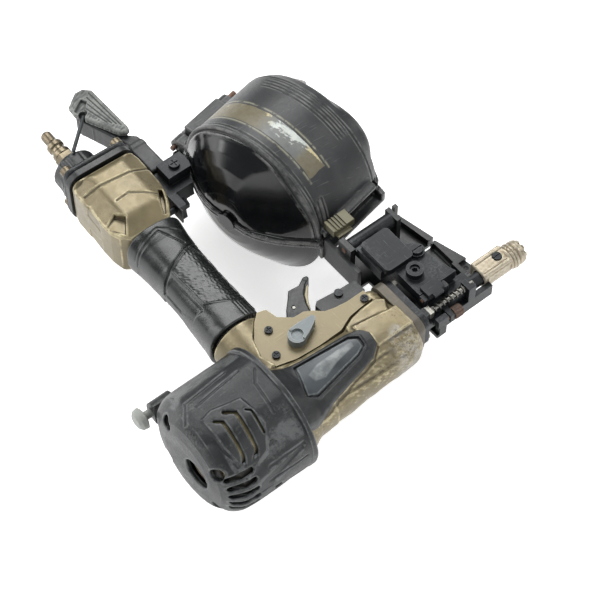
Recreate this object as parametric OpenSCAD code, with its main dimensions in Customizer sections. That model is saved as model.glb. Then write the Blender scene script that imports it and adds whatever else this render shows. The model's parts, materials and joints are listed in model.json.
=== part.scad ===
// Pneumatic construction coil nailer, 65 mm nail class, drum magazine.
// Units are millimetres. +X is the drive direction (toward the nose),
// +Y runs out along the handle to the air plug, +Z is the tool's left side.
// The origin is the drive axis at the end face of the contact nose.

/* [Drive] */
// piston radius
piston_r = 16.5; // [15:0.5:17]
// piston stroke
stroke = 96; // [80:1:96]
// driver blade radius
driver_r = 3.2; // [2.5:0.1:3.2]
// contact nose travel
nose_travel = 8; // [5:0.5:8]

/* [Body] */
// cylinder barrel outer radius
barrel_r = 25; // [24:0.5:26]
// head cover half width
cover_r = 40.5; // [39:0.5:42]

/* [Magazine] */
// drum outer radius
drum_r = 60; // [56:1:62]
// drum wall length
drum_len = 60; // [58:1:62]
// drum tilt from the drive axis
drum_tilt = 11; // [8:0.5:12]
// nail coil tray radius
tray_r = 50; // [40:1:52]

/* [Handle] */
// handle core radius
core_r = 17; // [15:0.5:18]
// grip swell at both ends
grip_end_r = 22; // [21:0.5:23]

/* [Hidden] */
bore_r = piston_r + 0.05;
sleeve_r = piston_r + 2;
guide_r = driver_r + 0.08;
hand_rake = -2;
hx = -194.8;
// nose bolt centres as [y, z]
nose_bolt_at = [[-7, -10.5], [27, -10.5], [27, 10.5]];
clr = 0.3;
tilt_x = -114.8;
tilt_y = 147.7;
hinge_t = 74;
hinge_z = -6;
gold = [0.64, 0.59, 0.44];
tan_c = [0.72, 0.66, 0.52];
blk = [0.17, 0.18, 0.19];
dark = [0.24, 0.25, 0.27];
grey = [0.55, 0.55, 0.54];
steel = [0.66, 0.66, 0.66];
brass = [0.72, 0.66, 0.50];
champ = [0.78, 0.74, 0.66];

// ---- axis helpers ----
module bx(x0, x1, y0, y1, z0, z1) translate([x0, y0, z0]) cube([x1 - x0, y1 - y0, z1 - z0]);
module cx(x0, x1, r, y = 0, z = 0, n = 64) translate([x0, y, z]) rotate([0, 90, 0]) cylinder(h = x1 - x0, r = r, $fn = n);
module cy(y0, y1, r, x = 0, z = 0, n = 64) translate([x, y0, z]) rotate([-90, 0, 0]) cylinder(h = y1 - y0, r = r, $fn = n);
module cz(z0, z1, r, x = 0, y = 0, n = 48) translate([x, y, z0]) cylinder(h = z1 - z0, r = r, $fn = n);
module hand() translate([hx, 0, 0]) rotate([0, 0, hand_rake]) children();
module drum() translate([tilt_x, tilt_y, 0]) rotate([0, 0, drum_tilt]) children();
// rounded slot outline swept along X, two round sides joined by a box
module stad(x0, x1, r, ya = 3.5, yb = 13.5) {
  cx(x0, x1, r, ya);
  cx(x0, x1, r, yb);
  bx(x0, x1, ya, yb, -r, r);
}
// solid of revolution about the X axis at (y = yc), profile points are [x, r]
module revx(pts, yc = 0, n = 72, zc = 0) translate([0, yc, zc]) rotate([0, 90, 0]) rotate([0, 0, 0])
  rotate_extrude($fn = n) polygon([for (p = pts) [p[1], p[0]]]);
// rounded rectangle prism along local Y: x0..x1, z0..z1, corner radius r
module rby(x0, x1, y0, y1, z0, z1, r) {
  bx(x0 + r, x1 - r, y0, y1, z0, z1);
  bx(x0, x1, y0, y1, z0 + r, z1 - r);
  for (x = [x0 + r, x1 - r], z = [z0 + r, z1 - r]) cy(y0, y1, r, x, z, 40);
}
// rounded rectangle prism along Z
module rbz(x0, x1, y0, y1, z0, z1, r) {
  bx(x0 + r, x1 - r, y0, y1, z0, z1);
  bx(x0, x1, y0 + r, y1 - r, z0, z1);
  for (x = [x0 + r, x1 - r], y = [y0 + r, y1 - r]) cz(z0, z1, r, x, y, 32);
}
// open coil spring along +X from x0, stacked rings joined by a thin rail
module coil_x(x0, x1, r, w, turns, y = 0, z = 0) {
  p = (x1 - x0 - 2 * w) / (turns - 1);
  for (i = [0:turns - 1]) translate([x0 + w + i * p, y, z]) rotate([0, 90, 0])
    rotate_extrude($fn = 28) translate([r, 0]) circle(r = w, $fn = 10);
  cx(x0 + w, x1 - w, w * 0.8, y + r, z, 14);
}
// profile of the drum shell as [s, r] pairs with an inward offset
function drum_out() = [[-24, 0], [-24, 20], [-20, 26], [-3, 56], [0, drum_r], [drum_len, drum_r], [drum_len + 8, drum_r - 6], [drum_len + 11, drum_r - 14], [drum_len + 11, 0]];
function drum_in() = [[-21.6, -1], [-21.6, 18.9], [-18, 24.6], [-1.4, 53.8], [1.2, drum_r - 2.5], [drum_len - 1, drum_r - 2.5], [drum_len + 6, drum_r - 7.7], [drum_len + 8.6, drum_r - 14.8], [drum_len + 8.6, -1]];
module drum_solid(pts, grow = 0) rotate([0, 90, 0]) rotate_extrude($fn = 96) polygon([for (p = pts) [max(0, p[1] + (p[1] > 0 ? grow : 0)), p[0]]]);

// ---- cylinder, head and nose ----
module body_housing() color(gold) difference() {
  union() {
    revx([[-212, 0], [-212, barrel_r], [-165, barrel_r], [-150, barrel_r - 2.2], [-124, barrel_r - 4], [-112, barrel_r - 5.5], [-104, 17], [-104, 0]]);
    // rear bell that carries the head
    stad(-220.8, -207, 36.4);
    revx([[-207, 0], [-207, 33], [-193, 26], [-186, 25], [-186, 0]]);
    // nose block
    rbxx(-121, -104, -13.5, 33, -16, 16, 8);
    // side ribs along the barrel
    for (z = [-1, 1]) for (y = [4, 12]) bx(-134, -110, y - 1.2, y + 1.2, z > 0 ? 0 : -20.6, z > 0 ? 20.6 : 0);
    // saddle carrying the trigger
    bx(-205, -108, 8, 29.5, -13.8, 13.8);
    bx(-206, -170, 20, 56, -13.8, 13.8);
    // handle root and core
    hand() cy(18, 62, 20.5, 0, 0);
    hand() cy(60, 166, core_r, 0, 0);
    end_block_form();
  }
  // return chamber and sleeve seats
  cx(-206, -166, piston_r + 4.6);
  cx(-222, -120, sleeve_r + 0.05);
  cx(-122, -112, piston_r + 0.2);
  cx(-115, -103, 8);
  // handle air passage
  hand() cy(30, 150, 11.5, -1, 0);
  hand() cy(148, 223, 12.6, -7.8, 0);
  // trigger valve pocket
  cx(-188, -168, 7.05, 45);
  cx(-170, -160, 7.05, 45);
  // recesses that seat the side plates
  for (z = [14.0, -30]) translate([0, 0, z]) linear_extrude(16) polygon(plate_pts());
  // trigger pocket between the plates
  bx(-167.5, -124, 21, 60, -7, 7);
  // exhaust ports around the barrel top
  for (a = [-40, 0, 40]) translate([-226, 0, 0]) rotate([a, 0, 0]) bx(-2, 8, -34, -27, -5, 5);
  // cap screw threads, nose bolt threads
  for (y = [-18, 31], z = [-20, 20]) cx(-223, -209, 2.5, y, z, 24);
  for (b = nose_bolt_at) cx(-111.6, -103, 2.05, b[0], b[1], 24);
  // pins and plate screws
  cz(-15, 15, 2.05, -158, 31, 24);
  cz(-15, 15, 3.05, -170, 29, 24);
  for (p = [[-180, 46], [-116, 26], [-188, 28]]) { cz(8, 15, 1.65, p[0], p[1], 20); cz(-15, -8, 1.65, p[0], p[1], 20); }
  // end cap bolt threads
  hand() for (x = [-19.5, 21.5], z = [-16.5, 16.5]) cy(210, 223, 2.05, x, z, 20);
  // bracket bolt thread in the lug
  cx(-172, -155, 2.55, 174.5, -2, 24);
  // pocket in the end block face
  hand() translate([-14, 176, 17]) rotate([0, 0, 20]) bx(-6, 6, -5, 6, 0, 8);
}
// rounded prism along X
module rbxx(x0, x1, y0, y1, z0, z1, r) {
  bx(x0, x1, y0 + r, y1 - r, z0, z1);
  bx(x0, x1, y0, y1, z0 + r, z1 - r);
  for (y = [y0 + r, y1 - r], z = [z0 + r, z1 - r]) cx(x0, x1, r, y, z, 32);
}
// cast block at the free end of the handle
module end_block_form() hand() intersection() {
  rby(-26.5, 27.5, 160, 222, -24, 24, 11);
  translate([0, 0, -30]) linear_extrude(60) polygon([[-40, 222], [40, 222], [40, 217], [27.5, 217], [27.5, 183], [21, 162], [14, 160], [-17, 160], [-25, 170], [-26.5, 182], [-26.5, 222]]);
}
module nose_flange() color(grey) difference() {
  rbxx(-103.9, -97.1, -14, 33.5, -16.5, 16.5, 8);
  cx(-105, -96, 6);
  for (b = nose_bolt_at) cx(-105, -96, 2.05, b[0], b[1], 24);
}
module nose_guide() color(dark) difference() {
  union() {
    rbxx(-97, -92, -12.5, 32, -15, 15, 7);
    bx(-92.5, -46.2, -6, 6.8, -7, 7.6);
    cx(-47, -13.5, 5.2, n = 40);
    // lugs for the guide rod and the depth dial
    bx(-92.5, -88.4, -8, -1.5, 5, 14);
    bx(-76, -72.3, -15.5, -5.5, 1.0, 7.1);
    // lugs for the latch pin
    for (x = [-86.5, -68.6]) bx(x, x + 3, -0.2, 4.9, 7, 17.6);
  }
  cx(-98, -13, guide_r, n = 40);
  bx(-98, -36, 0, 8, -3.6, 3.6);
  for (b = nose_bolt_at) cx(-98, -91, 2.05, b[0], b[1], 24);
  cx(-94, -87, 1.55, -5, 10.5, 24);
  cx(-77, -71, 1.75, -12.8, 4.4, 24);
  cx(-88, -64, 1.53, 2.4, 15.4, 20);
}
module nose_bolts() color(steel) for (b = nose_bolt_at) difference() {
  union() { cx(-111, -91.9, 2.0, b[0], b[1], 24); cx(-91.95, -88.5, 3.4, b[0], b[1], 32); }
  cx(-90.5, -88, 1.7, b[0], b[1], 6);
}
module cylinder_sleeve() color(steel) difference() {
  union() { cx(-244, -122.2, sleeve_r); cx(-203, -200, sleeve_r + 2); }
  cx(-245, -121, bore_r);
  for (a = [0:45:359]) translate([-140, 0, 0]) rotate([a, 0, 0]) cy(0, 26, 1.5, 0, 0, 16);
}
module bumper() color(blk) difference() {
  union() { cx(-133.6, -112.1, piston_r - 0.4); }
  cx(-134, -111, 6);
  revx([[-123, 0], [-123, 9], [-111, 13], [-111, 0]]);
}
module head_seals() color(blk) {
  difference() {
    stad(-221.9, -220.9, 36);
    cx(-223, -220, 24.2);
    for (y = [-18, 31], z = [-20, 20]) cx(-223, -220, 2.6, y, z, 24);
  }
  for (x = [-231, -226.5]) translate([x, 0, 0]) rotate([0, 90, 0])
    rotate_extrude($fn = 64) translate([sleeve_r + 1.32, 0]) circle(r = 1.25, $fn = 14);
}
module dome(pts) revx(pts, 8.5);
module cylinder_head() color(gold) difference() {
  intersection() {
    stad(-266, -222, 36.5);
    dome([[-266, 0], [-266, 35], [-256, 45], [-250, 48], [-220, 48], [-220, 0]]);
  }
  difference() { cx(-262, -221, 24); cx(-262.5, -247, 6); }
  for (y = [-18, 31], z = [-20, 20]) { cx(-267, -221, 2.55, y, z, 24); cx(-267, -263.9, 4.5, y, z, 32); }
  // exhaust passages
  for (a = [-30, 0, 30]) translate([-236, 0, 0]) rotate([a, 0, 0]) bx(-6, 6, -40, -20, -4.5, 4.5);
  cx(-267, -256, 2.05, n = 24);
  cx(-262.1, -246, 3.5, n = 24);
}
module cap_screws() color(brass) {
  for (y = [-18, 31], z = [-20, 20]) difference() {
    union() { cx(-264, -210, 2.45, y, z, 24); cx(-268.2, -263.95, 4.2, y, z, 32); }
    cx(-269, -266.2, 2.2, y, z, 6);
  }
  difference() {
    union() { cx(-266.1, -258.5, 2.0, n = 24); cx(-271, -266.05, 7, n = 40); }
    cx(-272, -268, 3, n = 6);
  }
}
module exhaust_cover() color(blk) difference() {
  union() {
    intersection() {
      stad(-275, -206, cover_r);
      dome([[-275, 0], [-275, 33], [-271, 40.5], [-264, 45.5], [-256, 48.5], [-244, 51.5], [-200, 51.5], [-200, 0]]);
    }
    // shoulder pad over the slots, left side
    intersection() { translate([0, 0, 30]) linear_extrude(12.4) polygon([[-262, 12], [-262, -24], [-224, -24], [-220, 12]]); cx(-270, -215, 43, 3.5); }
  }
  intersection() {
    stad(-271.2, -205, 37.2);
    dome([[-271.2, 0], [-271.2, 31], [-267.4, 37.5], [-260, 43], [-250, 48.4], [-200, 48.4], [-200, 0]]);
  }
  // chevron slots showing the head
  for (k = [[-253, 5, -26], [-243.5, 5, -26], [-234, -2, -18]]) {
    translate([k[0], 0, 30]) linear_extrude(16) polygon([[-2.5, k[1]], [2, k[1]], [0.5, k[2] + 10], [-1.8, k[2]], [-4.2, k[2]], [-4, k[2] + 10]]);
  }
  // side vents on the open side of the rear
  for (a = [-66, -54, -42, -30, -18]) translate([0, 3.5, 0]) rotate([a, 0, 0]) bx(-268, -253, -52, -30, -1.7, 1.7);
  // rear opening with the bolt, and screw access
  cx(-276, -270, 9);
  for (y = [-18, 31], z = [-20, 20]) cx(-276, -262, 5.4, y, z, 32);
  // room for the handle root
  hand() cy(36, 70, 20.9, 0, 0);
}
module duster_boss() color(blk) difference() {
  cx(-268, -252, 9, 53.4, -5.5, 40);
  stad(-280, -200, cover_r + 0.1);
  cx(-269, -249, 3.1, 57.5, -7, 24);
  cx(-263, -253.5, 3.8, 57.5, -7, 32);
}
module side_panel() color(blk) union() {
  intersection() {
    linear_extrude(40) polygon([[-205, 17], [-181, 12], [-147, 9], [-138, 6], [-134, 0], [-135, -9], [-142, -14], [-151, -16], [-178, -21], [-187, -23], [-205, -24]]);
    difference() { cx(-204, -130, barrel_r + 2.6); cx(-212, -120, barrel_r + 0.3); revx([[-209, 0], [-209, 34.6], [-193, 26.4], [-186, 25.2], [-186, 0]]); }
  }
  intersection() {
    linear_extrude(40) polygon([[-186, 8], [-147, 4], [-143, 1], [-144, -4], [-150, -7], [-190, -14], [-193, -12]]);
    difference() { cx(-194, -140, barrel_r + 4); cx(-212, -120, barrel_r + 2.5); }
  }
}

// ---- handle ----
module grip_sleeve() color(blk) difference() {
  hand() rotate([-90, 0, 0]) rotate_extrude($fn = 72) polygon([[core_r + 0.1, 64], [grip_end_r - 0.5, 64], [grip_end_r - 1.4, 72], [20.4, 84], [19.6, 105], [19.6, 128], [20.6, 146], [grip_end_r, 159.6], [core_r + 0.1, 159.6]]);
  translate([0, 0, -30]) linear_extrude(60) polygon([[-176, 58], [-150, 58], [-150, 76], [-166, 76], [-176, 66]]);
}
module end_spacer() color(blk) hand() difference() {
  rby(-25.5, 26.5, 222.2, 227, -23, 23, 10);
  cy(221, 228, 12.6, -7.8, 0);
  for (x = [-19.5, 21.5], z = [-16.5, 16.5]) cy(221, 228, 2.1, x, z, 20);
}
module end_cap() color(blk) hand() difference() {
  union() {
    rby(-25, 26, 227.2, 234, -22.5, 22.5, 10);
    cy(233, 246, 16.5, -7.8, 0);
    rotate([-90, 0, 0]) translate([-7.8, 0, 0]) rotate_extrude($fn = 64) polygon([[0, 246], [16.5, 246], [12.5, 250], [0, 250]]);
    cy(249.5, 252, 8.4, -7.8, 0, 6);
  }
  cy(226, 240, 12, -7.8, 0);
  cy(239, 253, 5.05, -7.8, 0, 40);
  for (x = [-19.5, 21.5], z = [-16.5, 16.5]) { cy(226, 240, 2.1, x, z, 20); cy(232, 251, 4.4, x, z, 28); }
}
module end_plate() color(grey) hand() difference() {
  rby(10, 25, 234.2, 237, -11, 11, 3);
  cy(233, 239, 16.8, -7.8, 0);
}
module end_cap_bolts() color(brass) hand() for (x = [-19.5, 21.5], z = [-16.5, 16.5]) difference() {
  union() { cy(211, 232.1, 2.0, x, z, 20); cy(232.05, 236.4, 4.1, x, z, 28); }
  cy(234.4, 237, 1.9, x, z, 6);
}
module air_plug() color(brass) hand() difference() {
  union() {
    cy(241, 252.1, 5, -7.8, 0, 40);
    cy(252.1, 257.5, 7.6, -7.8, 0, 6);
    translate([-7.8, 0, 0]) rotate([-90, 0, 0]) rotate_extrude($fn = 48) polygon([[0, 257], [5.6, 257], [6.6, 258.5], [6.6, 262], [4.9, 263.6], [4.9, 266], [6.1, 267.2], [6.1, 270.5], [4.2, 273], [4.2, 281], [3.4, 282.5], [0, 282.5]]);
  }
  cy(240, 284, 2.2, -7.8, 0, 24);
}
// ---- trigger group ----
function plate_pts() = [[-177, 62], [-171, 60], [-169, 51], [-161, 44], [-153, 43.5], [-148, 40.5], [-142, 35], [-135, 33], [-126, 31.8], [-112, 31.8], [-112, 23.5], [-124, 22.5], [-132, 21.6], [-143, 17], [-161, 16.6], [-179, 18], [-193, 22], [-196, 33], [-192, 46], [-183, 57]];
module trigger_plate(z0) translate([0, 0, z0]) difference() {
  linear_extrude(3.6) polygon(plate_pts());
  cz(-1, 5, 2.05, -158, 31, 24);
  cz(-1, 5, 3.05, -170, 29, 24);
  for (p = [[-180, 46], [-116, 26], [-188, 28]]) cz(-1, 5, 1.7, p[0], p[1], 20);
}
module trigger_plates() color(tan_c) { trigger_plate(14.1); trigger_plate(-17.7); }
module plate_screws() color(steel) {
  for (p = [[-180, 46], [-116, 26], [-188, 28]], m = [0, 1]) mirror([0, 0, m]) difference() {
    union() { cz(8.4, 17.75, 1.6, p[0], p[1], 20); cz(17.75, 19.4, 2.8, p[0], p[1], 24); }
    bx(p[0] - 2, p[0] + 2, p[1] - 0.35, p[1] + 0.35, 18.8, 20);
    bx(p[0] - 0.35, p[0] + 0.35, p[1] - 2, p[1] + 2, 18.8, 20);
  }
  cz(-8.05, 8.05, 1.6, -122, 45, 20);
  for (m = [0, 1]) mirror([0, 0, m]) cz(8.05, 9.8, 3, -122, 45, 24);
}
module trigger_pin() color(steel) { cz(-17.75, 17.75, 2.0, -158, 31, 24); for (m = [0, 1]) mirror([0, 0, m]) cz(17.75, 18.6, 3, -158, 31, 24); }
module valve_body() color(steel) difference() {
  union() { cx(-187.5, -168.6, 7, 45); }
  cx(-188, -167, 1.9, 45, 0, 24);
  cx(-184, -174, 5, 45, 0, 40);
}
module trigger() color(blk) difference() {
  union() {
    translate([0, 0, -5]) linear_extrude(10) polygon([[-163.5, 31], [-162.4, 44], [-160.4, 51], [-156, 58], [-150, 64], [-145, 69.5], [-137, 68.5], [-131.5, 71.5], [-127.5, 71], [-128, 69], [-132.5, 66.5], [-138, 61.5], [-141.5, 55], [-143.5, 48], [-147, 41], [-152, 33], [-153, 27.5], [-158, 26], [-162, 27.5]]);
  }
  cz(-6, 6, 2.08, -158, 31, 24);
  translate([0, 0, -2.2]) linear_extrude(4.4) polygon([[-159, 36.5], [-158, 46.3], [-154, 59.8], [-147.4, 59.2], [-148.2, 46], [-148, 40], [-140, 36], [-152, 24], [-154, 36]]);
  cz(-6, 6, 1.28, -150.5, 56.5, 20);
  // seat for the finger inlay
  translate([0, 0, -4]) linear_extrude(8) polygon([[-129.5, 67.5], [-133, 65.8], [-138.6, 60.8], [-141.9, 54.6], [-144, 47.4], [-143, 47], [-140, 54], [-136, 60.4], [-131, 65.2], [-127, 67]]);
}
module trigger_inlay() color(gold) translate([0, 0, -3.8]) linear_extrude(7.6) polygon([[-131.0, 66.4], [-134.2, 64.3], [-138.4, 60.4], [-141.5, 54.4], [-143.2, 48.6], [-142.2, 49], [-139.6, 54.4], [-136.0, 59.8], [-132.2, 63.9]]);
module contact_lever() color(steel) union() {
  translate([0, 0, -1.9]) linear_extrude(3.8) polygon([[-157.8, 37.5], [-157.2, 45.4], [-153.2, 58.9], [-148.2, 58.5], [-149.2, 45.4], [-148.8, 41.2], [-154, 37.5]]);
  cz(-5, 5, 1.22, -150.5, 56.5, 20);
}
module valve_stem() color(steel) union() {
  cx(-186.5, -163.4, 1.85, 45, 0, 24);
  cx(-179.2, -177, 4.9, 45, 0, 40);
}
module valve_spring() color(steel) coil_x(-183.9, -179.4, 3.3, 0.45, 4, 45, 0);
module mode_lever() color(grey) difference() {
  union() {
    cz(17.9, 24, 6.2, -170, 29, 40);
    translate([0, 0, 19.4]) linear_extrude(5.6) polygon([[-172, 35], [-164, 35.4], [-153.5, 34.6], [-152.3, 32.4], [-154, 30.2], [-163, 25.2], [-168, 23.2]]);
    cz(-18, 18, 3.0, -170, 29, 24);
    cz(-20.5, -18.0, 5, -170, 29, 32);
  }
  cz(23.2, 26, 4.2, -170, 29, 32);
}
module link_guard() color(blk) difference() {
  translate([0, 0, -8]) linear_extrude(16) polygon([[-139.5, 39.6], [-140.2, 47], [-137, 49.6], [-120, 47.6], [-106.3, 47], [-106.3, 36.4], [-112, 34.8], [-126, 34.9], [-135, 36]]);
  bx(-150, -104, 37.6, 42.4, -3.4, 3.4);
  bx(-118.6, -104, 37.6, 42.4, -9, 3.4);
  cz(-9, 9, 1.65, -122, 45, 20);
}
// ---- contact nose ----
module contact_arm() color(dark) difference() {
  union() {
    // lower bar and cross strap under the nose
    bx(-80, -34, -10.4, -6.3, -10.6, 0);
    bx(-82, -74, -10.4, 42, -19, -16);
    bx(-80, -74, -10.4, -6.3, -19, -9);
    bx(-110, -74, 37.9, 42, -19, -16);
    bx(-110, -106.6, 37.9, 42, -19, 3);
    bx(-137, -106.6, 37.9, 42, -3, 3);
    // spring lug on the guide rod
    bx(-56, -50, -10.4, -6.3, -0.5, 13.8);
    bx(-56, -52, -10.4, -1.6, 7.6, 13.8);
  }
  cx(-59, -49, 1.6, -5, 10.5, 24);
}
module contact_nose() color(champ) difference() {
  union() {
    rbxx(-37.7, -12, -6.3, 9.2, -7.2, 7.2, 3);
    revx([[-13, 0], [-13, 8.2], [-9, 9.4], [-7, 8.4], [-2.5, 8.8], [0, 7.6], [0, 0]], 0, 48);
  }
  cx(-39, -4.9, 5.45, n = 40);
  cx(-6, 1, 5, n = 40);
  for (a = [0:45:315]) rotate([a, 0, 0]) bx(-3.2, 1, 6, 12, -1.1, 1.1);
  cz(5.7, 9, 3.3, -20, 2, 28);
}
module nose_screw() color(blk) difference() {
  cz(5.8, 8.2, 3.2, -20, 2, 28);
  bx(-24, -16, 1.6, 2.4, 7.4, 9);
}
module arm_guide_rod() color(steel) {
  cx(-91.9, -48.5, 1.5, -5, 10.5, 24);
  difference() { bx(-88.3, -84.9, -8.4, -1.6, 7.9, 13.3); cx(-89, -83, 1.53, -5, 10.5, 24); }
}
module arm_spring() color(steel) coil_x(-84.8, -56.1, 2.2, 0.5, 10, -5, 10.5);
module depth_dial() color([0.45, 0.30, 0.24]) difference() {
  union() { cx(-72.1, -65.4, 4.1, -12.8, 4.4, 40); cx(-77.2, -72, 1.7, -12.8, 4.4, 24); for (a = [0:30:359]) translate([0, -12.8, 4.4]) rotate([a, 0, 0]) cx(-71.6, -66, 0.45, 3.95, 0, 10); }
  cx(-66.6, -65, 2.6, -12.8, 4.4, 32);
}
module side_guard() color(dark) union() {
  bx(-86.5, -78, -15.2, -11.2, 2.2, 9.5);
  bx(-91.9, -78, -11.4, -6.1, 2.2, 4.4);
  bx(-91.9, -88.6, -11.4, -8.1, 2.2, 7.5);
}
// ---- feeder ----
module nail_guide() color(blk) difference() {
  union() {
    bx(-101.5, -40, 7.1, 84, -12.4, -9.2);
    // head side wall
    bx(-102, -98.9, 49, 84, -12.4, 8.5);
    // point side fence, stepped
    translate([0, 0, -12.4]) linear_extrude(9) polygon([[-42, 10.2], [-30, 10.2], [-31.5, 20], [-38, 43.5], [-42, 43.5]]);
    translate([0, 0, -12.4]) linear_extrude(9) polygon([[-42, 46], [-37.2, 46], [-44, 78.5], [-47, 78.5]]);
    bx(-42, -38.6, 81, 84, -12.4, -3.4);
    // seats for the door pin lugs
    bx(-98.9, -94.5, 60.5, 73.2, -12.4, 17.5);
    bx(-58.2, -54.6, 60.5, 73.2, -12.4, 17.5);
  }
  translate([0, 0, -8]) linear_extrude(9) polygon([[-43, 22], [-40.4, 22], [-40.4, 42], [-43, 42]]);
  bx(-52, -30, 43.5, 46, -14, 5);
  bx(-52, -30, 78.5, 81, -14, 5);
  bx(-67, -57, 9, 31, -14, -8);
  // flange relief
  bx(-104, -91.8, -20, 36, -20, 20);
  bx(-104, -91.8, 34, 49, -20, 20);
  cx(-100, -53, 2.05, 67, 12.5, 24);
  cz(-14, -2, 1.6, -35, 14.5, 20);
  bx(-38.5, -29, 10, 19, -6.9, -2);
  cx(-92, -87.6, 3.9, 27, -10.5, 28);
}
module feed_cylinder() color(dark) difference() {
  union() { cy(31.5, 62, 8.2, -62, -21, 48); bx(-72, -52, 33, 60, -20, -12.5); }
  cy(33.5, 60, 6.05, -62, -21, 48);
  cy(30, 35, 2.6, -62, -21, 24);
}
module feed_piston() color(steel) union() { cy(50, 55, 6.0, -62, -21, 48); cy(24, 50.5, 2.5, -62, -21, 24); }
module feed_pawl() color(steel) union() {
  bx(-66, -58, 18, 23.9, -25, -12.8);
  bx(-65.5, -58.5, 18, 23.9, -13, -8);
  translate([0, 0, -8.1]) linear_extrude(3.6) polygon([[-65.5, 18], [-58.5, 18], [-58.5, 21.5], [-65.5, 21.5]]);
}
module feed_spring() color(steel) translate([-62, 0, -21]) rotate([0, 0, 90]) coil_x(34, 49.8, 4.4, 0.55, 7, 0, 0);
module feed_door() color([0.38, 0.39, 0.40]) difference() {
  union() {
    translate([0, 0, 9.2]) linear_extrude(8.8) polygon([[-94, 59.5], [-72, 59.5], [-68.5, 44], [-61.5, 40], [-60, 30], [-58, 17], [-54.5, 5.5], [-86, 5.5], [-86, 35.2], [-94, 35.2]]);
    rbz(-92.5, -69.5, 30, 59, 17.5, 23, 3);
    // hinge barrel
    cx(-94.1, -58.6, 5.2, 67, 12.5, 32);
    bx(-94, -70, 58, 66.5, 9.2, 15);
    cz(17.5, 23, 6, -77, 21, 32);
    cz(17.5, 20.5, 5.5, -65, 33, 32);
  }
  cx(-96, -57, 2.08, 67, 12.5, 24);
  cz(15, 24, 3.6, -77, 21, 28);
  cz(8, 16, 2.05, -77, 21, 24);
  cz(14, 24, 2.05, -65, 33, 24);
}
module door_bolts() color(steel) union() {
  difference() { union() { cz(10, 15.1, 2.0, -77, 21, 24); cz(15.05, 21.5, 3.5, -77, 21, 28); } cz(19, 22, 2, -77, 21, 6); }
  difference() { union() { cz(14.1, 20.6, 2.0, -65, 33, 24); cz(20.55, 22.4, 4.2, -65, 33, 28); } bx(-69, -61, 32.5, 33.5, 21.6, 23); }
}
module door_latch() color(dark) difference() {
  union() {
    cx(-83.1, -69, 2.6, 2.4, 15.4, 28);
    bx(-83.1, -69, 2.4, 9, 18.3, 20.4);
    bx(-83.1, -69, 0, 4.6, 15.4, 20.4);
    bx(-80, -72, -3, 0.5, 18.3, 20.4);
  }
  cx(-84, -68, 1.58, 2.4, 15.4, 20);
}
// ---- magazine ----
module magazine_base() color(dark) difference() {
  union() {
    drum() difference() {
      intersection() { drum_solid(drum_out()); translate([-60, -90, -90]) cube([160, 180, 90]); }
      intersection() { drum_solid(drum_in()); translate([-60, -90, -95]) cube([160, 180, 96]); }
    }
    // parting flange
    drum() difference() { bx(1, drum_len - 1, -62.4, 62.4, -3, 0); bx(0, drum_len, -58.5, 58.5, -4, 1); }
    // centre boss for the tray post with a web
    drum() { intersection() { cx(-23.2, -12, 8); bx(-30, 0, -9, 9, -9, 0); } intersection() { bx(-22.5, -14, -3, 3, -31, -4); drum_solid(drum_out()); } }
    // hinge lugs
    drum() for (s = [4, 50]) { bx(s, s + 10, 57.5, hinge_t, hinge_z - 4.6, -0.6); cx(s, s + 10, 4.6, hinge_t, hinge_z, 32); }
    // neck floor and side walls toward the feeder
    translate([0, 0, -12.4]) linear_extrude(3.3) polygon([[-101.5, 84.3], [-38, 84.3], [-38, 104], [-46, 106], [-99, 96]]);
    translate([0, 0, -12.4]) linear_extrude(12.2) polygon([[-104.4, 84.3], [-101.5, 84.3], [-98.5, 97], [-101.4, 97]]);
    translate([0, 0, -12.4]) linear_extrude(9) polygon([[-42, 84.3], [-38.2, 84.3], [-37, 104], [-41, 105]]);
  }
  drum() { cx(-26, -11, 5.05); bx(3, 62, -70, -40, -9.0, 5); }
  drum() cx(0, 70, 2.05, hinge_t, hinge_z, 24);
  drum() cz(-12, 2, 2.1, 9, 65.5, 24);
}
module magazine_bracket() color(dark) difference() {
  union() {
    bx(-160.2, -126, 181, 203, -9, 5);
    bx(-160.2, -154, 166, 183, -9, 5);
    bx(-154, -134, 188, 203, 4.5, 13.5);
    translate([0, 0, -9]) linear_extrude(8) polygon([[-128, 192], [-128, 203], [-126.5, 203.4], [-126.1, 194]]);
    translate([0, 0, -16]) linear_extrude(5.1) polygon([[-150, 184], [-114, 190], [-110, 219], [-127, 221], [-150, 203]]);
    bx(-150, -135, 184, 203, -12, -8);
  }
  drum() cz(-20, 2, 2.1, 9, 65.5, 24);
  cz(2, 14, 2.1, -144, 195.5, 24);
  cx(-161, -150, 2.6, 174.5, -2, 24);
  // clear of the handle block and of the hook pivot
  hand() rby(-26.8, 27.8, 160, 222, -24.3, 24.3, 11);
  cy(190, 204, 3.05, -151, -2, 32);
  drum() drum_solid([[-40, 0], [-40, 30], [-24, 27], [-2, 62.3], [0, 62.8], [drum_len, 62.8], [drum_len, 0]]);
}
module bracket_screws() color(steel) {
  difference() { union() { cz(5, 13.55, 2.0, -144, 195.5, 24); cz(13.55, 16, 4, -144, 195.5, 28); } bx(-147, -141, 195, 196, 15, 17); bx(-144.5, -143.5, 192.5, 198.5, 15, 17); }
  cx(-171, -153.9, 2.5, 174.5, -2, 24);
  cx(-153.95, -150, 4.2, 174.5, -2, 6);
  drum() { cz(-16.1, -1.6, 2.0, 9, 65.5, 24); cz(-19.6, -16.05, 3.8, 9, 65.5, 6); }
  cy(191, 216, 3.0, -151, -2, 32);
  cy(215.9, 219.5, 4.2, -151, -2, 6);
}
module hinge_pins() color([0.50, 0.40, 0.34]) {
  drum() cx(0.5, 67.5, 2.0, hinge_t, hinge_z, 24);
  cx(-99.5, -54, 2.0, 67, 12.5, 24);
  cx(-87, -65, 1.5, 2.4, 15.4, 20);
}
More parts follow.
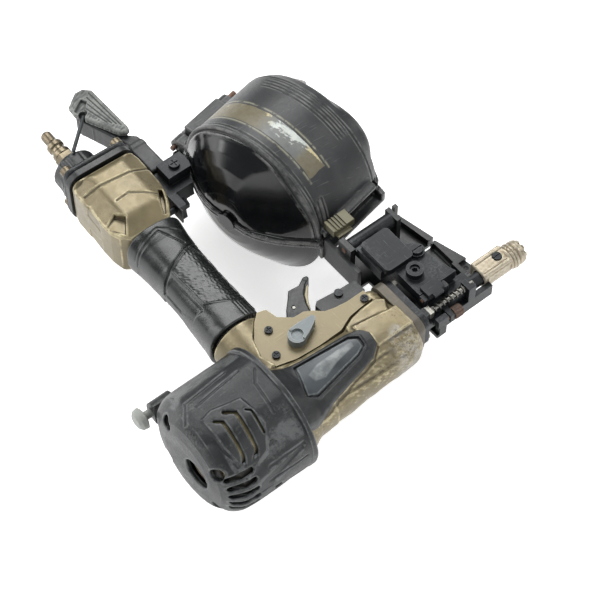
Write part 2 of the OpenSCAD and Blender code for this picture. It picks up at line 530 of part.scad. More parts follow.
module magazine_cover() color(blk) difference() {
  union() {
    drum() difference() {
      intersection() { drum_solid(drum_out()); translate([-60, -90, 0.3]) cube([160, 180, 90]); }
      intersection() { drum_solid(drum_in()); translate([-60, -90, -1]) cube([160, 180, 96]); }
    }
    // rim bead and raised bands
    drum() difference() { intersection() { union() { cx(0, 5, drum_r + 1.2, n = 96); cx(drum_len - 9, drum_len - 5, drum_r + 0.8, n = 96); } translate([-60, -90, 0.3]) cube([160, 180, 90]); } cx(-3, 70, drum_r - 1, n = 96); }
    drum() difference() { intersection() { drum_solid([[-2, 0], [-2, 61.5], [0, 62.5], [drum_len, 62.5], [drum_len + 4, 60], [drum_len + 4, 0]]); translate([-60, -90, 0.3]) cube([160, 180, 3]); } drum_solid(drum_in()); }
    // hinge knuckle
    drum() { bx(14.4, 49.6, 62.8, hinge_t + 1, hinge_z, 5.5); cx(14.4, 49.6, 4.6, hinge_t, hinge_z, 32); bx(14.4, 49.6, 57.6, 64, 0.8, 5.5); }
    // flap over the neck
    translate([0, 0, 9.5]) linear_extrude(3.5) polygon([[-103, 77.5], [-52, 77.5], [-47, 97], [-50, 108], [-98, 98]]);
  }
  drum() { cx(-30, -10, 8.4); bx(3, 64, -70, -30, -2, 9.4); }
  drum() cx(10, 60, 2.08, hinge_t, hinge_z, 24);
  drum() rotate([28, 0, 0]) mirror([0, 0, 1]) rotate([30, 0, 0]) translate([drum_len + 7, 0, 0]) rotate([0, 90, 0]) rotate_extrude(angle = 44, $fn = 72) polygon([[40, 0], [46.5, 0], [46.5, 5], [40, 5]]);
}
module cover_window() color([0.92, 0.92, 0.90, 0.6]) drum() rotate([28, 0, 0]) mirror([0, 0, 1]) rotate([30.6, 0, 0]) translate([drum_len + 6.5, 0, 0]) rotate([0, 90, 0])
  rotate_extrude(angle = 42.6, $fn = 72) polygon([[40.4, 2.2], [46.1, 2.2], [46.1, 9], [43.5, 11], [40.4, 10.5]]);
module cover_latch() color(tan_c) union() {
  difference() { bx(-98, -80, 79, 90, 13.3, 19.5); for (x = [-96:2.6:-88]) bx(x, x + 1.2, 78, 91, 18.4, 20); }
  bx(-96, -84, 75.8, 79.5, 13.3, 15.2);
}
module tray_post() color(steel) drum() union() { cx(-23.8, 26, 5.0, n = 40); cx(-26.4, -24.05, 7, n = 40); cx(-24.1, -23.7, 5, n = 40); cx(13.6, 26, 6.2, n = 6); cx(13.6, 15.2, 8, n = 40); }
module coil_tray() color(blk) drum() difference() {
  union() { cx(8, 10.5, tray_r); cx(4, 13.3, 9); for (a = [0:60:359]) rotate([a, 0, 0]) bx(10.4, 12, 9, tray_r - 4, -1.2, 1.2); }
  cx(3, 15, 5.06);
}

// ---- hook ----
module hook_arm() color(blk) union() {
  hook_rod();
  difference() {
    union() {
      // pivot hub, strap and outward paddle
      cy(203.4, 214, 6.4, -151, -2, 40);
      rbz(-157.5, -144.8, 204, 232, 2.6, 8, 1.5);
      bx(-156, -146, 203.6, 213.8, -2, 4);
      translate([0, 0, -9]) linear_extrude(17) polygon([[-156.2, 234.5], [-156.2, 228], [-144.8, 228], [-146, 236], [-150.5, 240.5], [-150.5, 286], [-155, 290], [-163, 288], [-170, 276], [-168.5, 270]]);
    }
    cy(200, 216, 3.06, -151, -2, 32);
    translate([0, 0, -10]) linear_extrude(15) polygon([[-153.5, 246], [-153.5, 284], [-160, 284], [-163, 279]]);
  }
}
module hook_pad() color([0.60, 0.61, 0.60]) difference() {
  translate([0, 0, 8.05]) linear_extrude(6.2) polygon([[-149.2, 240.6], [-152.5, 239.4], [-156.3, 242.2], [-171.5, 275.5], [-170.8, 283], [-160, 291], [-153.5, 290.5], [-149, 285.5], [-148.4, 243]]);
  for (i = [0:3]) translate([-156 - i * 0.9, 258 + i * 6, 12.6]) rotate([0, 0, 88]) bx(-8, 8, -0.8, 0.8, 0, 3);
  cz(8, 15, 3.2, -166.3, 272.2, 24);
  translate([-166.3, 272.2, 8]) rotate([0, 0, 225.5]) bx(0, 14, -2.2, 2.2, -1, 8);
}
// thin rod from the paddle corner down to the end cap
module hook_rod() {
  cz(-9, 9.5, 1.5, -166.3, 272.2, 16);
  translate([-166.3, 272.2, 9.2]) rotate([0, 76.3, 225.5]) cylinder(h = 38, r = 1.4, $fn = 16);
  translate([-166.3, 272.2, 9.2]) sphere(r = 1.6, $fn = 16);
}
body_housing();
nose_flange();
nose_guide();
nose_bolts();
cylinder_sleeve();
bumper();
head_seals();
cylinder_head();
cap_screws();
exhaust_cover();
duster_boss();
side_panel();
grip_sleeve();
end_spacer();
end_cap();
end_plate();
end_cap_bolts();
air_plug();
trigger_plates();
plate_screws();
trigger_pin();
valve_body();
link_guard();
nail_guide();
feed_cylinder();
arm_guide_rod();
side_guard();
magazine_base();
magazine_bracket();
bracket_screws();
hinge_pins();
piston();
driver_blade();
head_valve();
head_valve_spring();
trigger();
trigger_inlay();
contact_lever();
valve_stem();
valve_spring();
mode_lever();
contact_arm();
contact_nose();
nose_screw();
arm_spring();
depth_dial();
duster_button();
feed_piston();
feed_pawl();
feed_spring();
feed_door();
door_bolts();
door_latch();
magazine_cover();
cover_window();
cover_latch();
tray_post();
coil_tray();
hook_arm();
hook_pad();

// ---- moving drive parts ----
module piston() color(steel) difference() {
  union() { cx(-242, -230, piston_r - 0.0); }
  translate([-234.5, 0, 0]) rotate([0, 90, 0]) rotate_extrude($fn = 64) translate([piston_r - 1.1, -1.3]) square([3, 2.6]);
  cx(-235, -229, 3.25, n = 40);
  cx(-243, -240, 10);
}
module driver_blade() color(steel) union() { cx(-234.9, -106, driver_r, n = 40); }
module head_valve() color(dark) difference() {
  union() { cx(-257, -246, 23.9); }
  cx(-258, -240, 6.05);
  cx(-249, -240, 15);
}
module head_valve_spring() color(steel) coil_x(-261.9, -257.1, 12, 0.7, 3, 0, 0);
module duster_button() color([0.60, 0.61, 0.60]) union() {
  cx(-275.5, -257, 3.0, 57.5, -7, 24);
  cx(-262.9, -257, 3.65, 57.5, -7, 32);
  revx([[-280, 0], [-280, 5], [-278, 7.2], [-274.5, 7.8], [-273.5, 6], [-273.5, 0]], 57.5, 40, -7);
}
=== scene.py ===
import json
import math
import bmesh
import bpy
import numpy as np
from mathutils import Matrix, Vector


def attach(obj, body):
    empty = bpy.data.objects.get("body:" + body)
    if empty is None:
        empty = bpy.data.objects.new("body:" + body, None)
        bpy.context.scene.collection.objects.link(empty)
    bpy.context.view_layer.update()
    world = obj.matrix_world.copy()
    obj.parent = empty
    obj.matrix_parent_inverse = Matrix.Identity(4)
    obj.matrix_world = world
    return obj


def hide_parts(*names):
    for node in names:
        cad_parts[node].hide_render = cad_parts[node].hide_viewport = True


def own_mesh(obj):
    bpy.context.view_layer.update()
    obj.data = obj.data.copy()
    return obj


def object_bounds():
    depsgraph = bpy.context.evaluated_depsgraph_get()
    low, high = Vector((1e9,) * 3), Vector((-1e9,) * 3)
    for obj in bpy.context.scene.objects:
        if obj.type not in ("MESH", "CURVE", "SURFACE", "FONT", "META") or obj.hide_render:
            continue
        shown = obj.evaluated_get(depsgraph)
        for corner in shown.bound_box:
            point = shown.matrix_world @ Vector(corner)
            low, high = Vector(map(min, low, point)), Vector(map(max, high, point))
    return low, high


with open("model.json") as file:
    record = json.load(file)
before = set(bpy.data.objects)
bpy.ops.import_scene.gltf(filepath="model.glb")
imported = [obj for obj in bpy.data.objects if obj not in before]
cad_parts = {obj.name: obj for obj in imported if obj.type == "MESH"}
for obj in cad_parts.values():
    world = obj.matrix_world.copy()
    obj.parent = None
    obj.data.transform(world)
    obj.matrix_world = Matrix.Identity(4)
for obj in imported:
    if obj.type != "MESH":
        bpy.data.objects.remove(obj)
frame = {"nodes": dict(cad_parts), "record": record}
LO0, HI0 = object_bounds()
NODES = frame["nodes"]
f32 = np.float32

# ---------------------------------------------------------------- field toolkit (millimetres)


class Grid:
    def __init__(self, lo, hi, h):
        self.h = h
        self.lo = np.array(lo, float)
        n = np.ceil((np.array(hi) - self.lo) / h).astype(int) + 1
        ax = [(self.lo[i] + h * np.arange(n[i])).astype(f32) for i in range(3)]
        self.x, self.y, self.z = ax[0][:, None, None], ax[1][None, :, None], ax[2][None, None, :]
        self.shape = tuple(n)

    def full(self, v=1e3):
        return np.full(self.shape, v, f32)


def smin(a, b, k):
    h = np.maximum(k - np.abs(a - b), 0) / k
    return np.minimum(a, b) - h * h * k * f32(0.25)


def smax(a, b, k):
    h = np.maximum(k - np.abs(a - b), 0) / k
    return np.maximum(a, b) + h * h * k * f32(0.25)


def rnd(d1, d2, r):
    """edge-rounded intersection of two fields"""
    if r <= 0:
        return np.maximum(d1, d2)
    a, b = d1 + r, d2 + r
    return np.minimum(np.maximum(a, b), 0) + np.sqrt(np.maximum(a, 0) ** 2 + np.maximum(b, 0) ** 2) - r


def slab(v, a, b):
    return np.abs(v - (a + b) * 0.5) - (b - a) * 0.5


def hyp(a, b):
    return np.sqrt(a * a + b * b)


def rbox(x, y, z, x0, x1, y0, y1, z0, z1, r=1.0):
    a, b, c = slab(x, x0, x1) + r, slab(y, y0, y1) + r, slab(z, z0, z1) + r
    o = np.sqrt(np.maximum(a, 0) ** 2 + np.maximum(b, 0) ** 2 + np.maximum(c, 0) ** 2)
    return o + np.minimum(np.maximum(np.maximum(a, b), c), 0) - r


def cylf(u, v, w, R, uc, vc, w0, w1, r=0.6):
    return rnd(hyp(u - uc, v - vc) - R, slab(w, w0, w1), r)


def poly2(px, py, pts):
    """signed distance to a closed polygon"""
    pts = [(float(a), float(b)) for a, b in pts]
    d = None
    inside = None
    n = len(pts)
    for i in range(n):
        ax, ay = pts[i]
        bx, by = pts[(i + 1) % n]
        ex, ey = bx - ax, by - ay
        L = ex * ex + ey * ey
        if L < 1e-12:
            continue
        wx, wy = px - ax, py - ay
        t = np.clip((wx * ex + wy * ey) / L, 0, 1)
        dd = (wx - ex * t) ** 2 + (wy - ey * t) ** 2
        d = dd if d is None else np.minimum(d, dd)
        c = ((ay <= py) & (by > py) | (by <= py) & (ay > py)) & (
            (px - ax) < ((py - ay) * ex / (ey if abs(ey) > 1e-12 else 1e-12))
        )
        inside = c if inside is None else inside ^ c
    d = np.sqrt(d)
    return np.where(inside, -d, d).astype(f32)


def line2(px, py, pts):
    """distance to an open polyline"""
    d = None
    for (ax, ay), (bx, by) in zip(pts[:-1], pts[1:]):
        ex, ey = bx - ax, by - ay
        wx, wy = px - ax, py - ay
        t = np.clip((wx * ex + wy * ey) / (ex * ex + ey * ey), 0, 1)
        dd = (wx - ex * t) ** 2 + (wy - ey * t) ** 2
        d = dd if d is None else np.minimum(d, dd)
    return np.sqrt(d).astype(f32)


def revolve(g_axis, rr, pts, rmax, h):
    """revolved profile; g_axis is the 1-D axis sample list, rr the 2-D radius map that goes with the other two axes"""
    rs = np.arange(0, rmax + 3 * h, h * 0.5).astype(f32)
    full = list(pts) + [(a, -b) for a, b in reversed(pts)]
    T = poly2(g_axis[:, None], rs[None, :], full)
    q = np.clip(rr / (h * 0.5), 0, len(rs) - 2)
    i = q.astype(int)
    f = (q - i).astype(f32)
    return T[:, i] * (1 - f) + T[:, i + 1] * f


def noise3(x, y, z, s, seed=0):
    """cheap smooth value noise, about -1..1"""
    r = np.random.RandomState(seed)
    out = 0
    for k in range(5):
        a = r.normal(size=3)
        a = a / np.linalg.norm(a) * (0.7 + 0.6 * r.rand()) * 6.283 / s
        out = out + np.sin(a[0] * x + a[1] * y + a[2] * z + r.rand() * 6.28)
    return (out / 2.6).astype(f32)


def dent(F, d, w, depth):
    """press a soft line of half-width w and this depth into the surface where d is near 0"""
    return F + f32(depth) * np.exp(-((d / w) ** 2)).astype(f32)


def nets(F, lo, h):
    # close the mesh where a piece reaches the edge of its grid
    F = np.array(F)
    for ax in range(3):
        for end in (0, -1):
            s = [slice(None)] * 3
            s[ax] = end
            F[tuple(s)] = np.maximum(F[tuple(s)], 0.3 * h)
    S = F < 0
    c = np.zeros(tuple(n - 1 for n in F.shape), np.uint8)
    for a in (0, 1):
        for b in (0, 1):
            for d in (0, 1):
                c += S[a : S.shape[0] - 1 + a, b : S.shape[1] - 1 + b, d : S.shape[2] - 1 + d]
    mask = (c > 0) & (c < 8)
    cells = np.argwhere(mask)
    idx = np.full(mask.shape, -1, np.int64)
    idx[mask] = np.arange(len(cells))
    P = np.zeros((len(cells), 3))
    W = np.zeros(len(cells))
    i, j, k = cells.T
    corners = [(a, b, d) for a in (0, 1) for b in (0, 1) for d in (0, 1)]
    V = {q: F[i + q[0], j + q[1], k + q[2]].astype(float) for q in corners}
    for q in corners:
        for ax in range(3):
            if q[ax] == 0:
                p = list(q)
                p[ax] = 1
                p = tuple(p)
                va, vb = V[q], V[p]
                m = (va < 0) != (vb < 0)
                den = np.where(m, va - vb, 1)
                t = np.where(m, va / den, 0)
                pos = np.tile(np.array(q, float), (len(cells), 1))
                pos[:, ax] += t
                P += pos * m[:, None]
                W += m
    P = (P / W[:, None] + cells) * h + np.array(lo)
    quads = []
    for ax in range(3):
        b, d = [(1, 2), (2, 0), (0, 1)][ax]
        sl0 = [slice(None)] * 3
        sl1 = [slice(None)] * 3
        sl0[ax] = slice(0, -1)
        sl1[ax] = slice(1, None)
        for o in (b, d):
            sl0[o] = slice(1, -1)
            sl1[o] = slice(1, -1)
        A, B = S[tuple(sl0)], S[tuple(sl1)]
        e = np.argwhere(A != B)
        if not len(e):
            continue
        off = np.zeros(3, int)
        off[b] = off[d] = 1
        p = e + off
        st = A[tuple(e.T)]
        db = np.zeros(3, int)
        db[b] = 1
        dd = np.zeros(3, int)
        dd[d] = 1
        c0, c1, c2, c3 = (idx[tuple((p - db - dd).T)], idx[tuple((p - dd).T)], idx[tuple(p.T)], idx[tuple((p - db).T)])
        q = np.stack([c0, c1, c2, c3], 1)
        q[~st] = q[~st][:, ::-1]
        quads.append(q)
    return P, np.concatenate(quads)


HR = math.radians(-2)
DT = math.radians(11)
M_HAND = Matrix.Translation((-0.1948, 0, 0)) @ Matrix.Rotation(HR, 4, "Z")
M_DRUM = Matrix.Translation((-0.1148, 0.1477, 0)) @ Matrix.Rotation(DT, 4, "Z")


def sample(F, g, P):
    """trilinear sample of a field at points in mm"""
    q = (P - g.lo) / g.h
    q = np.clip(q, 0, np.array(F.shape) - 1.001)
    i = q.astype(int)
    t = q - i
    out = 0
    for a in (0, 1):
        for b in (0, 1):
            for c in (0, 1):
                w = (t[:, 0] if a else 1 - t[:, 0]) * (t[:, 1] if b else 1 - t[:, 1]) * (t[:, 2] if c else 1 - t[:, 2])
                out = out + w * F[i[:, 0] + a, i[:, 1] + b, i[:, 2] + c]
    return out


def new_mesh(name, V, Fc, M=None):
    V = np.asarray(V, float) / 1000.0
    if M is not None:
        A = np.array(M)
        V = V @ A[:3, :3].T + A[:3, 3]
    me = bpy.data.meshes.new(name)
    me.vertices.add(len(V))
    me.vertices.foreach_set("co", V.astype(f32).ravel())
    Fc = np.asarray(Fc)
    n, k = Fc.shape
    me.loops.add(n * k)
    me.loops.foreach_set("vertex_index", Fc.ravel().astype(np.int32))
    me.polygons.add(n)
    me.polygons.foreach_set("loop_start", (np.arange(n) * k).astype(np.int32))
    me.polygons.foreach_set("use_smooth", np.ones(n, bool))
    me.update(calc_edges=True)
    me.validate()
    o = bpy.data.objects.new(name, me)
    bpy.context.scene.collection.objects.link(o)
    return o


def field_piece(name, g, F, mat, body, nodes=(), M=None, attrs=None, dig=1.5):
    """mesh a field, store how convex each point is for edge wear and for the painted shade in hollows, and set it up as
    a piece
    """
    P, Q = nets(F, g.lo, g.h)
    e = min(dig * g.h, 0.9)
    lap = -6 * sample(F, g, P)
    for ax in range(3):
        for s in (-1, 1):
            D = P.copy()
            D[:, ax] += s * e
            lap = lap + sample(F, g, D)
    cv = np.clip(lap / (e * e) * 2.0, -2, 2)
    o = new_mesh(name, P, Q, M)
    a = o.data.attributes.new("cv", "FLOAT", "POINT")
    a.data.foreach_set("value", cv.astype(f32))
    for k, fn in (attrs or {}).items():
        a = o.data.attributes.new(k, "FLOAT", "POINT")
        a.data.foreach_set("value", np.asarray(fn(P), f32))
    setup(o, mat, body, nodes)
    return o


def setup(o, mat, body, nodes=()):
    o.data.materials.clear()
    o.data.materials.append(mat)
    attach(o, body)
    if nodes:
        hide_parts(*nodes)


BODY = {n: b for b, ns in frame["record"]["behaviour"]["bodies"].items() for n in ns}


def soften(node, mat, w=0.45, seg=2, ang=28, name=None, keep=None):
    """a piece shaped like a CAD node, with every hard edge rounded over"""
    src = NODES[node]
    bm = bmesh.new()
    bm.from_mesh(src.data)
    bmesh.ops.remove_doubles(bm, verts=bm.verts, dist=2e-6)
    bmesh.ops.dissolve_limit(bm, angle_limit=math.radians(1.0), verts=bm.verts, edges=bm.edges, delimit=set())
    bm.normal_update()
    sharp = [e for e in bm.edges if len(e.link_faces) == 2 and e.calc_face_angle(0) > math.radians(ang)]
    if sharp:
        bmesh.ops.bevel(bm, geom=sharp, offset=w / 1000, offset_type="OFFSET", segments=seg, profile=0.6, clamp_overlap=True, affect="EDGES")
    bmesh.ops.triangulate(bm, faces=[f for f in bm.faces if len(f.verts) > 4])
    for f in bm.faces:
        f.smooth = True
    me = bpy.data.meshes.new((name or node) + "_soft")
    bm.to_mesh(me)
    bm.free()
    o = bpy.data.objects.new((name or node) + "_shape", me)
    bpy.context.scene.collection.objects.link(o)
    me.set_sharp_from_angle(angle=math.radians(42))
    m = o.modifiers.new("wn", "WEIGHTED_NORMAL")
    m.keep_sharp = True
    m.weight = 80
    setup(o, mat, BODY[node], [node])
    return o


# ---------------------------------------------------------------- materials


def lin(c):
    return tuple(((v / 255) / 12.92 if v / 255 <= 0.04045 else ((v / 255 + 0.055) / 1.055) ** 2.4) for v in c) + (1.0,)


class N:
    """small node helper"""

    def __init__(self, name):
        self.m = bpy.data.materials.new(name)
        self.m.use_nodes = True
        self.t = self.m.node_tree
        self.t.nodes.clear()
        self.out = self.t.nodes.new("ShaderNodeOutputMaterial")
        self.b = self.t.nodes.new("ShaderNodeBsdfPrincipled")
        self.t.links.new(self.b.outputs[0], self.out.inputs[0])
        self.co = self.t.nodes.new("ShaderNodeTexCoord").outputs["Object"]

    def n(self, kind, **kw):
        x = self.t.nodes.new(kind)
        for k, v in kw.items():
            setattr(x, k, v)
        return x

    def link(self, a, b):
        self.t.links.new(a, b)

    def mapping(self, scale=(1, 1, 1), rot=(0, 0, 0), loc=(0, 0, 0)):
        m = self.n("ShaderNodeMapping")
        m.inputs["Scale"].default_value = scale
        m.inputs["Rotation"].default_value = rot
        m.inputs["Location"].default_value = loc
        self.link(self.co, m.inputs[0])
        return m.outputs[0]

    def noise(self, scale, detail=4, rough=0.55, vec=None, dist=0.0):
        x = self.n("ShaderNodeTexNoise")
        x.inputs["Scale"].default_value = scale
        x.inputs["Detail"].default_value = detail
        x.inputs["Roughness"].default_value = rough
        x.inputs["Distortion"].default_value = dist
        self.link(vec or self.co, x.inputs["Vector"])
        return x.outputs[0]

    def ramp(self, fac, stops, interp="LINEAR"):
        x = self.n("ShaderNodeValToRGB")
        x.color_ramp.interpolation = interp
        while len(x.color_ramp.elements) < len(stops):
            x.color_ramp.elements.new(0.5)
        for e, (p, c) in zip(x.color_ramp.elements, stops):
            e.position = p
            e.color = c if len(c) == 4 else tuple(c) + (1,)
        self.link(fac, x.inputs[0])
        return x.outputs[0]

    def range(self, v, a, b, c=0.0, d=1.0, smooth=True):
        x = self.n("ShaderNodeMapRange")
        x.interpolation_type = "SMOOTHSTEP" if smooth else "LINEAR"
        for k, q in zip((1, 2, 3, 4), (a, b, c, d)):
            x.inputs[k].default_value = q
        self.link(v, x.inputs[0])
        return x.outputs[0]

    def math(self, op, a, b=None, clamp=False):
        x = self.n("ShaderNodeMath", operation=op, use_clamp=clamp)
        for i, v in enumerate((a, b)):
            if v is None:
                continue
            if isinstance(v, (int, float)):
                x.inputs[i].default_value = v
            else:
                self.link(v, x.inputs[i])
        return x.outputs[0]

    def mix(self, fac, a, b):
        x = self.n("ShaderNodeMix", data_type="RGBA", clamp_factor=True)
        for i, v in ((0, fac), (6, a), (7, b)):
            if isinstance(v, (int, float, tuple)):
                x.inputs[i].default_value = v
            else:
                self.link(v, x.inputs[i])
        return x.outputs[2]

    def attr(self, name):
        x = self.n("ShaderNodeAttribute")
        x.attribute_name = name
        return x.outputs["Fac"]

    def edge(self, radius=0.0007):
        """1 along hard edges: how far the rounded normal turns from the true one"""
        bv = self.n("ShaderNodeBevel")
        bv.samples = 4
        bv.inputs[0].default_value = radius
        ge = self.n("ShaderNodeNewGeometry")
        d = self.n("ShaderNodeVectorMath", operation="DOT_PRODUCT")
        self.link(bv.outputs[0], d.inputs[0])
        self.link(ge.outputs["Normal"], d.inputs[1])
        return self.range(d.outputs["Value"], 0.995, 0.90)

    def set(self, col=None, rough=None, metal=None, bump=None, bump_d=0.0002, **kw):
        for key, v in (("Base Color", col), ("Roughness", rough), ("Metallic", metal)):
            if v is None:
                continue
            if isinstance(v, (int, float, tuple)):
                self.b.inputs[key].default_value = v
            else:
                self.link(v, self.b.inputs[key])
        if bump is not None:
            bp = self.n("ShaderNodeBump")
            bp.inputs["Strength"].default_value = 1.0
            bp.inputs["Distance"].default_value = bump_d
            self.link(bump, bp.inputs["Height"])
            self.link(bp.outputs[0], self.b.inputs["Normal"])
        for k, v in kw.items():
            self.b.inputs[k.replace("_", " ")].default_value = v
        return self.m


def worn(name, base, alt, edge, edge_amt=0.8, metal=0.0, rough=(0.35, 0.6), scuff=None, scuff_amt=0.3, grain=900, bump=0.00012, patch=28,
         scratch=0.0, dirt_and_shade=None, dirt_and_shade_amt=0.0, cv=True, cv_lo=0.10, cv_hi=0.6, spec=0.5, coat=0.0):
    """a used surface: two-tone mottling, lighter rubbed edges, scuffs, fine scratches, dark dirt specks, painted shade
    darkening the hollows, grain in the bump
    """
    m = N(name)
    big = m.noise(patch, 5, 0.6)
    fine = m.noise(grain, 3, 0.6)
    col = m.mix(m.range(big, 0.35, 0.68), lin(base), lin(alt))
    sp = m.noise(620, 5, 0.75)
    if scuff:
        f = m.math("MULTIPLY", m.range(m.noise(patch * 0.8, 6, 0.7, dist=0.6), 0.52, 0.72), m.range(sp, 0.42, 0.6))
        col = m.mix(m.math("MULTIPLY", f, scuff_amt), col, lin(scuff))
    if scratch > 0:
        s1 = m.noise(60, 2, 0.5, m.mapping((1.0, 22, 3), (0.3, 0.1, 0.6)), 0.3)
        s2 = m.noise(60, 2, 0.5, m.mapping((20, 1.2, 3), (0.1, 0.4, -0.5)), 0.3)
        l = m.math("MAXIMUM", m.range(s1, 0.665, 0.70), m.range(s2, 0.665, 0.70))
        l = m.math("MULTIPLY", l, m.range(big, 0.35, 0.65))
        col = m.mix(m.math("MULTIPLY", l, scratch), col, lin(scuff or edge))
    e = m.edge()
    if cv:
        c = m.range(m.attr("cv"), cv_lo, cv_hi)
        e = m.math("MAXIMUM", e, c)
    e = m.math("MULTIPLY", e, m.range(m.noise(95, 6, 0.75), 0.34, 0.58))
    e = m.math("MULTIPLY", e, edge_amt, True)
    col = m.mix(e, col, lin(edge))
    if dirt_and_shade:
        d = m.range(sp, 0.56, 0.66)
        d = m.math("MULTIPLY", d, m.range(m.noise(patch * 1.3, 4, 0.6), 0.48, 0.62))
        col = m.mix(m.math("MULTIPLY", d, dirt_and_shade_amt), col, lin(dirt_and_shade))
        # painted shade: hollows (negative cv) are darkened toward the same dark colour as the dirt specks
        if cv:
            col = m.mix(m.math("MULTIPLY", m.range(m.attr("cv"), -0.12, -0.6), min(1.0, dirt_and_shade_amt * 1.2)), col, lin(dirt_and_shade))
    ro = m.range(m.math("ADD", m.math("MULTIPLY", big, 0.6), m.math("MULTIPLY", fine, 0.4)), 0.3, 0.7, rough[0], rough[1])
    h = m.math("ADD", m.math("MULTIPLY", fine, 0.5), m.math("MULTIPLY", sp, 0.5))
    return m.set(col, ro, metal, h, bump, **{"Specular_IOR_Level": spec, "Coat_Weight": coat})


MAT = {}
MAT["cast"] = worn("cast_bronze_paint", (104, 95, 72), (126, 115, 87), (196, 186, 148), 0.6, 0.62, (0.26, 0.44), (166, 155, 124), 0.35,
                   1400, 0.00006, 22, 0.25, (70, 64, 54), 0.75)
MAT["tan"] = worn("tan_plate_coat", (116, 106, 81), (126, 116, 90), (178, 168, 140), 0.5, 0.35, (0.36, 0.48), (196, 184, 150), 0.3, 1600, 0.00004, 30,
                  0.2, (112, 101, 78), 0.5)
MAT["cap"] = worn("worn_black_cap", (15, 17, 19), (21, 24, 26), (96, 99, 99), 0.7, 0.0, (0.34, 0.52), (112, 115, 113), 0.5, 700, 0.0003, 34, 0.14,
                  (30, 32, 34), 0.5, cv_lo=0.22, cv_hi=0.9)
MAT["blk"] = worn("satin_black", (14, 16, 17), (19, 21, 23), (62, 65, 66), 0.45, 0.0, (0.34, 0.52), (92, 94, 92), 0.3, 900, 0.00012, 40, 0.25, (24, 25, 26), 0.3)
MAT["rub"] = worn("grip_rubber", (17, 20, 20), (23, 26, 26), (64, 67, 65), 0.4, 0.0, (0.22, 0.34), (84, 88, 84), 0.3, 800, 0.0001, 40, 0.2, (26, 28, 28), 0.4)
MAT["seal"] = worn("seal_rubber", (34, 35, 36), (42, 43, 44), (70, 72, 72), 0.3, 0.0, (0.5, 0.7), None, 0, 900, 0.0001, 40)
MAT["dark"] = worn("blackened_steel", (21, 24, 26), (28, 31, 34), (92, 96, 97), 0.55, 0.45, (0.36, 0.52), (104, 107, 106), 0.35, 1100, 0.00006, 36, 0.3,
                   (30, 31, 32), 0.5)
MAT["pin"] = worn("plain_steel", (120, 119, 114), (140, 138, 131), (188, 186, 178), 0.5, 0.85, (0.28, 0.45), (96, 90, 80), 0.4, 1500, 0.00004, 60, 0.2,
                  (70, 60, 48), 0.6)
MAT["grey"] = worn("grey_plate", (80, 76, 68), (98, 92, 81), (144, 136, 118), 0.5, 0.35, (0.42, 0.58), (150, 143, 124), 0.4, 1200, 0.00006, 40, 0.25,
                   (72, 68, 60), 0.5)
MAT["lever"] = worn("grey_lever", (98, 105, 106), (112, 118, 119), (186, 190, 188), 0.6, 0.2, (0.36, 0.5), (160, 164, 162), 0.3, 1200, 0.00005, 60, 0.3,
                    (84, 86, 84), 0.5)
MAT["tip"] = worn("champagne_tip", (148, 138, 119), (162, 152, 133), (196, 188, 170), 0.5, 0.6, (0.34, 0.5), (168, 156, 130), 0.4, 1400, 0.00008, 60, 0.2,
                  (110, 98, 76), 0.6)
MAT["brass"] = worn("tarnished_brass", (112, 103, 85), (92, 83, 68), (178, 168, 142), 0.5, 0.8, (0.26, 0.44), (96, 80, 62), 0.6, 1400, 0.00006, 80, 0.2,
                    (74, 58, 44), 0.8)
MAT["rust"] = worn("rusted_bar", (112, 84, 70), (74, 62, 56), (150, 124, 106), 0.4, 0.4, (0.5, 0.7), (128, 92, 72), 0.6, 900, 0.0002, 70, 0.1,
                   (48, 42, 40), 0.7)
MAT["pad"] = worn("grey_pad", (84, 87, 85), (104, 106, 103), (160, 162, 156), 0.5, 0.0, (0.6, 0.8), (84, 88, 86), 0.6, 700, 0.0003, 60, 0.5,
                  (58, 60, 59), 0.6)
MAT["latch"] = worn("olive_latch", (84, 81, 62), (98, 94, 73), (146, 139, 110), 0.5, 0.3, (0.36, 0.5), (70, 67, 54), 0.4, 1200, 0.00005, 60)
MAT["knob"] = worn("knob_rubber", (136, 139, 134), (148, 150, 145), (168, 170, 165), 0.4, 0.0, (0.55, 0.7), (120, 123, 119), 0.3, 900, 0.0001, 60)
MAT["inlay"] = worn("inlay_bronze", (134, 126, 100), (150, 141, 112), (190, 182, 150), 0.5, 0.3, (0.36, 0.5), None, 0, 1200, 0.00005, 60)


def window_mat():
    m = N("milky_window")
    c = m.mix(m.range(m.noise(60, 4), 0.35, 0.7), lin((150, 147, 144)), lin((170, 167, 164)))
    h = m.noise(500, 3)
    m.set(c, 0.3, 0.0, h, 0.00005)
    m.b.inputs["Subsurface Weight"].default_value = 0.2
    m.b.inputs["Subsurface Radius"].default_value = (0.004, 0.004, 0.004)
    return m.m


